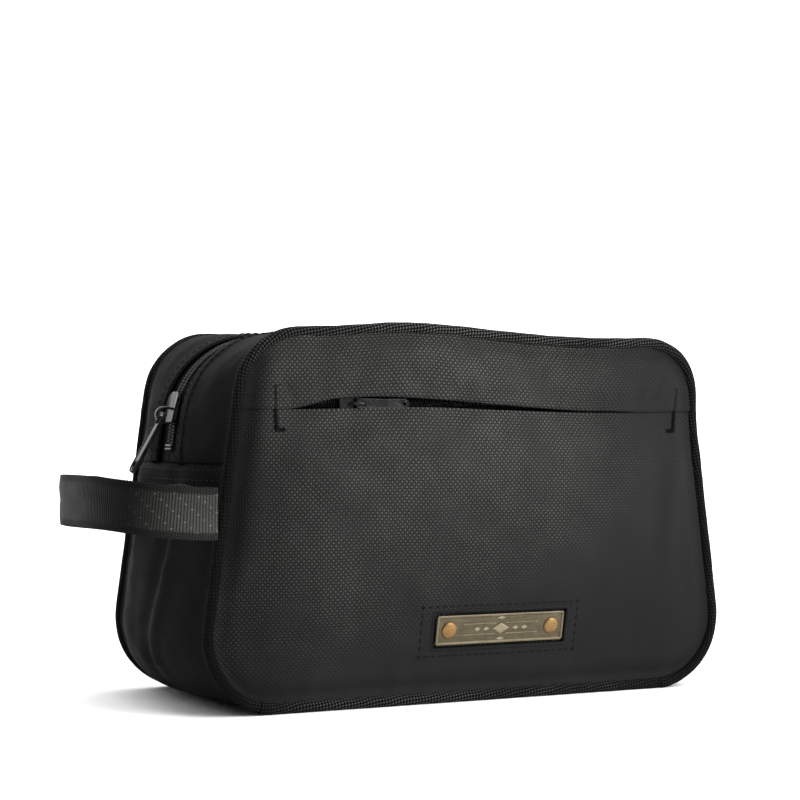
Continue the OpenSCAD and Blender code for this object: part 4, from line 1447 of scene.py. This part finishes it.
def plateRing(inset):
    wide, tall = plateAt["wide"] - 2 * inset, plateAt["tall"] - 2 * inset
    return roundedBox(plateAt["x"], plateAt["z"], wide, tall, max(0.0002, 0.0010 - inset * 0.6))


# (how far in, height): up the plate's side, over its raised rim and down to its face
rim = [(0, 0.0010), (0, -0.00035), (0.00012, -0.00055), (0.00035, -0.00062), (0.00075, -0.00062)]
rim += [(0.00095, -0.00052), (0.00115, -0.0002), (0.0013, -0.0001)]
plateParts = [stack("plate", [(plateRing(inset), platePos + y) for inset, y in rim], plateBrass)]


def raised(name, loop, tall=0.00032):
    # a low mark on the plate's face
    cx = sum(p[0] for p in loop) / len(loop)
    cz = sum(p[1] for p in loop) / len(loop)
    shrink = [(cx + (x - cx) * 0.9, cz + (z - cz) * 0.8) for x, z in loop]
    top = platePos - 0.0001
    return stack(name, [(loop, top + 0.0002), (loop, top - tall * 0.7), (shrink, top - tall)], plateBrass)


def lozenge(cx, cz, w, h):
    return [(cx - w / 2, cz), (cx, cz - h / 2), (cx + w / 2, cz), (cx, cz + h / 2)]


px, pz = plateAt["x"], plateAt["z"]
for k, z in enumerate((pz - 0.0025, pz + 0.0025)):
    for j, x in enumerate((px - 0.0112, px + 0.0112)):
        plateParts.append(raised(f"line_{k}_{j}", roundedBox(x, z, 0.0165, 0.00055, 0.0002, 2)))
plateParts.append(raised("lozenge_mid", lozenge(px, pz, 0.0085, 0.0048), 0.0004))
for j, x in enumerate((px - 0.0125, px - 0.0078, px + 0.0078, px + 0.0125)):
    plateParts.append(raised(f"lozenge_{j}", lozenge(x, pz, 0.0034, 0.0020)))
for j, z in enumerate((pz - 0.0049, pz + 0.0049)):
    plateParts.append(raised(f"bead_{j}", lozenge(px, z, 0.0046, 0.0016)))
finishMesh(joined("nameplate_brass", plateParts), "bag", ["nameplate"], "antique_brass")

rivet = {"shank": 0.0015, "long": 0.0042, "washer": 0.004, "washerAt": 0.0039, "washerHalf": 0.0003}
rivets, washers = [], []
# (radius, height) from the rivet's edge to its crown
dome = [(0.00370, 0.0002), (0.00380, -0.0002), (0.00372, -0.00055), (0.00340, -0.00085)]
dome += [(0.00315, -0.00098), (0.00250, -0.00118), (0.0015, -0.00132), (0.0006, -0.00138)]
for k, turn in enumerate((-1, 1)):
    cx = px + turn * plateAt["rivet"]
    crown = [(ringOf(cx, pz, r, 40), platePos + y) for r, y in dome]
    shank = [(ringOf(cx, pz, rivet["shank"], 20), platePos + y) for y in (0.0002, rivet["long"])]
    rivets += [stack(f"rivet_{k}", crown, rivetBrass, True), stack(f"shank_{k}", shank, rivetBrass, True)]
    back = platePos + rivet["washerAt"]
    disc = lambda u, v, h: Vector((cx + u, back + h - plateLean["slope"] * v, pz + v))
    loops = [ringOf(0, 0, rivet["washer"], 32), ringOf(0, 0, rivet["shank"], 20)]
    washers.append(flatPart(f"washer_{k}", loops, rivet["washerHalf"], 0.0001, disc, rivetBrass))
finishMesh(joined("plate_rivets", rivets), "bag", ["nameplate_rivets"], "rivet_copper")
finishMesh(joined("plate_washers", washers), "bag", ["rivet_washers"], "rivet_copper")

low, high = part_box("plate_backing")


def backingPoint(x, z):
    y = platePos + 0.0022 - plateLean["slope"] * (z - pz) + 0.0002 * rough(x, z, 0, 0.01, 61)
    return Vector((x, y, z))


across, up = stations([low.x, high.x], 0.002), stations([low.z, high.z], 0.002)
cloth = sheetOver("plate_backing_cloth", across, up, backingPoint, backCanvas, 0.0009)
finishMesh(cloth, "bag", ["plate_backing"], "canvas")

# the rolled edge of the window round the plate
windowX, windowZ = (window[0] + window[1]) / 2, (window[2] + window[3]) / 2
windowWide, windowTall = window[1] - window[0] + 0.001, window[3] - window[2] + 0.001
lipLoop = evenLoop(roundedBox(windowX, windowZ, windowWide, windowTall, 0.0014, 5), 150)
lipPath = [settle((x, panelY - puff(x, z) + 0.0008, z)) for x, z in lipLoop]
lipRound = lambda i, along: (0.00105 + 0.0001 * rough(along, 0, 0, 0.006, 62), 0.00105)
finishMesh(tubeObject("window_lip", lipPath, lipRound, 10, frontCanvas), "bag")
print("stage: nameplate")

# ---------- stitching ----------

sewing = {
    "pitch": 0.0036, "length": 0.0025, "width": 0.00062, "height": 0.00042,
    "frame": (-0.0312, 0.0505, 0.0217, 0.0446),          # the stitched frame round the nameplate
    "tackPitch": 0.00062, "tackHeight": 0.0011, "tackLow": 0.1245, "tackHigh": 0.1440, "tackFoot": 0.0036,
    "seamRows": (0.0034, 0.0078),                        # below the edge of the bottom gusset
}


def rangeOf(a, b, step=0.0012):
    # even values from a to b, both included
    count = max(2, int(abs(b - a) / step))
    return [a + (b - a) * i / count for i in range(count + 1)]


def onFront(points, out=0.0001):
    # (x, z) points laid on the front panel
    made = []
    for x, z in points:
        p = panelPoint(x, z)
        p.y -= out
        made.append(p)
    return made


run = {name.capitalize(): sewing[name] for name in ("pitch", "length", "width", "height")}
x0, x1, z0, z1 = sewing["frame"]
frames = [onFront([(x, z) for x in rangeOf(x0, x1)]) for z in (z0, z1)]
frames += [onFront([(x, z) for z in rangeOf(z0, z1)]) for x in (x0, x1)]
finishMesh(barRow("window_sewing", frames, thread, **run), "bag", (), "thread")

tack = {"Pitch": sewing["tackPitch"], "Width": 0.00062, "Height": sewing["tackHeight"], "Loose": 0.15}
tacks = []
for turn, x in ((-1, -0.1012), (1, 0.1078)):
    upright = onFront([(x, z) for z in rangeOf(sewing["tackLow"], sewing["tackHigh"], 0.0006)], 0.0004)
    tacks.append(barRow(f"tack_{turn}", [upright], thread, Length=0.0023, Direction=(1, 0, 0.25), **tack))
    foot = rangeOf(x, x - turn * sewing["tackFoot"], 0.0005)
    levels = (sewing["tackLow"] + 0.0002, sewing["tackHigh"] - 0.0002)
    ends = [onFront([(q, z) for q in foot], 0.0002) for z in levels]
    tacks.append(barRow(f"tack_end_{turn}", ends, thread, Length=0.0020, Direction=(0.25, 0, 1), **tack))
finishMesh(joined("slit_tacks", tacks), "bag", ["pocket_bar_tacks"], "thread")


def onTop(i, y, sign, out=0.0001):
    # the point of the top gusset at step i of its path
    x, z = midTop[i]
    p = gussetPoint(edgeTop[i], midTop[i], y, topFold(sign, y, z) + out, sign)
    if abs(x) < 0.085:
        p.z += hemLift(y) + out
    return p


hemLines = (zipShow + 0.0016, zipShow + gusset["hemWide"] - 0.0002)
for sign, side in ((-1, "left"), (1, "right")):
    for face, turn in (("front", -1), ("back", 1)):
        lines = [[onTop(i, turn * y, sign) for i in range(1, cutAt + 1)] for y in hemLines]
        corner = barRow(f"zip_sewing_{face}_{side}", lines, thread, Facing=(sign, 0, 1), **run)
        finishMesh(corner, "bag", (), "thread")
        lines = [[onTop(i, turn * y, sign) for i in range(cutAt, topLast + 1)] for y in hemLines]
        middle = barRow(f"mouth_sewing_{face}_{side}", lines, thread, Facing=(0, 0, 1), **run)
        foldWith(middle, face, sign)
    seams = []
    for down in sewing["seamRows"]:
        edge, mid = [wallSpot(swell, seamZ - down, gusset["skin"]) for swell in (0, endBulge)]
        seam = []
        for y in rangeOf(-0.051, 0.051, 0.002):
            out = sideWrinkle(sign, y, mid[1]) + 0.0001
            seam.append(gussetPoint(edge, mid, y, out, sign))
        seams.append(seam)
    finishMesh(barRow(f"seam_sewing_{side}", seams, thread, Facing=(sign, 0, 0), **run), "bag", (), "thread")
print("stage: stitching")

# ---------- inside ----------

inside = {"wave": 0.0008, "step": 0.004, "mouth": 0.0168}
for node, turn in (("lining_front", -1), ("lining_back", 1)):
    low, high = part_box(node)

    def liningPoint(x, z):
        calm = smooth(outlineHalf(z, low.z), outlineHalf(z, low.z) - 0.02, abs(x))
        wave = abs(inside["wave"] * rough(x, z, turn, 0.03, 71)) * calm
        return Vector((x, (low.y + high.y) / 2 - turn * (0.0004 + wave), z))

    across = lambda z: [outlineHalf(z, low.z) * (i / 30 - 1) for i in range(61)]
    up = stations([low.z + 0.0005, high.z - 0.0005], inside["step"])
    finishMesh(sheetOver(node + "_cloth", across, up, liningPoint, lining, 0.0005), "bag", [node], "lining")

shell = []
low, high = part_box("lining_gusset")
inset = low.z + 0.0003
around = basePath(0, inset, 0)
above = topPath(0, topR, inset)[:cutAt + 1]
shellParts = (
    ("low", around, (low.y, high.y)),
    ("up_front", above, (low.y, -inside["mouth"])), ("up_back", above, (inside["mouth"], high.y)),
)
for sign in (-1, 1):
    for name, path, span in shellParts:
        rows, uvRows = [], []
        for y in stations(list(span), inside["step"]):
            waves = [abs(inside["wave"] * rough(y, z, sign, 0.025, 72)) for x, z in path]
            rows.append([Vector((sign * (x - wave), y, z)) for (x, z), wave in zip(path, waves)])
            uvRows.append([(i * 0.003, y) for i in range(len(path))])
        shell.append(thicken(outward(gridObject(f"shell_{sign}_{name}", rows, uvRows, lining)), 0.0005))
finishMesh(joined("lining_shell", shell), "bag", ["lining_gusset"], "lining")

low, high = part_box("base_board")
mid, size = (low + high) / 2, high - low
boardPlace = lambda u, v, h: Vector((mid.x + u, mid.y + v, mid.z + h))
boardLoop = roundedBox(0, 0, size.x, size.y, 0.006)
panel = flatPart("base_stiffener", [boardLoop], size.z / 2, 0.0006, boardPlace, board)
finishMesh(panel, "bag", ["base_board"], "board")
print("stage: inside")

# ---------- camera, floor and light ----------

view = {"from": (-0.4410, -0.8461, 0.1199), "at": (0, 0, 0.090), "lens": 88.32, "shift": (-0.024, 0.1277)}
light = {
    "key": 2.1, "softness": 40, "from": (0.34, -0.42, 0.84),
    "front": 17.0, "frontAt": (0.75, -1.1, 0.55), "frontAim": (0.02, -0.06, 0.09), "frontSize": 0.7,
    "side": 0.05, "sky": 2.3, "skyTo": (0.36, 0.70, 0.62),     # dark at the sides, bright behind and above
    "floor": 6,
}


def aimed(name, data, place, toward):
    made = bpy.data.objects.new(name, data)
    bpy.context.collection.objects.link(made)
    made.location = place
    made.rotation_mode = "QUATERNION"
    made.rotation_quaternion = Vector(toward).to_track_quat("-Z", "Y")
    return made


sight = Vector(view["at"]) - Vector(view["from"])
camera = aimed("camera", bpy.data.cameras.new("camera"), view["from"], sight)
camera.data.lens = view["lens"]
camera.data.shift_x, camera.data.shift_y = view["shift"]
bpy.context.scene.camera = camera

floorMesh = bpy.data.meshes.new("floor")
reach = light["floor"]
corners = [(-reach, -reach, 0), (reach, -reach, 0), (reach, reach, 0), (-reach, reach, 0)]
floorMesh.from_pydata(corners, [], [(0, 1, 2, 3)])
floorNet = Net("pale floor")
floorNet.finish((0.95, 0.95, 0.95), 1.0, fixed={"Specular IOR Level": 0.0})
newObject("floor", floorMesh, floorNet.material)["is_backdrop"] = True

sun = bpy.data.lights.new("key", "SUN")
sun.energy = light["key"]
sun.angle = math.radians(light["softness"])
aimed("key", sun, (0, 0, 0), -Vector(light["from"]))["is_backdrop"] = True
lamp = bpy.data.lights.new("front", "AREA")
lamp.energy = light["front"]
lamp.size = light["frontSize"]
beam = Vector(light["frontAim"]) - Vector(light["frontAt"])
aimed("front", lamp, light["frontAt"], beam)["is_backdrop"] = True

# a white backdrop behind the bag, dark elsewhere, so that the unlit end stays dark
world = bpy.data.worlds.new("studio")
bpy.context.scene.world = world
world.use_nodes = True
tree = world.node_tree
lookup = tree.nodes.new("ShaderNodeTexCoord")
toBack = tree.nodes.new("ShaderNodeVectorMath")
toBack.operation = "DOT_PRODUCT"
toBack.inputs[1].default_value = light["skyTo"]
tree.links.new(lookup.outputs["Generated"], toBack.inputs[0])
spread = tree.nodes.new("ShaderNodeMapRange")
spread.interpolation_type = "SMOOTHSTEP"
ends = {"From Min": 0.12, "From Max": 0.60, "To Min": light["side"], "To Max": light["sky"]}
for socket, value in ends.items():
    spread.inputs[socket].default_value = value
tree.links.new(toBack.outputs["Value"], spread.inputs["Value"])
tree.links.new(spread.outputs[0], tree.nodes["Background"].inputs[1])
tree.nodes["Background"].inputs[0].default_value = (1, 1, 1, 1)
bpy.context.scene.view_settings.view_transform = "Standard"

low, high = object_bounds()
print("stage: camera and light")
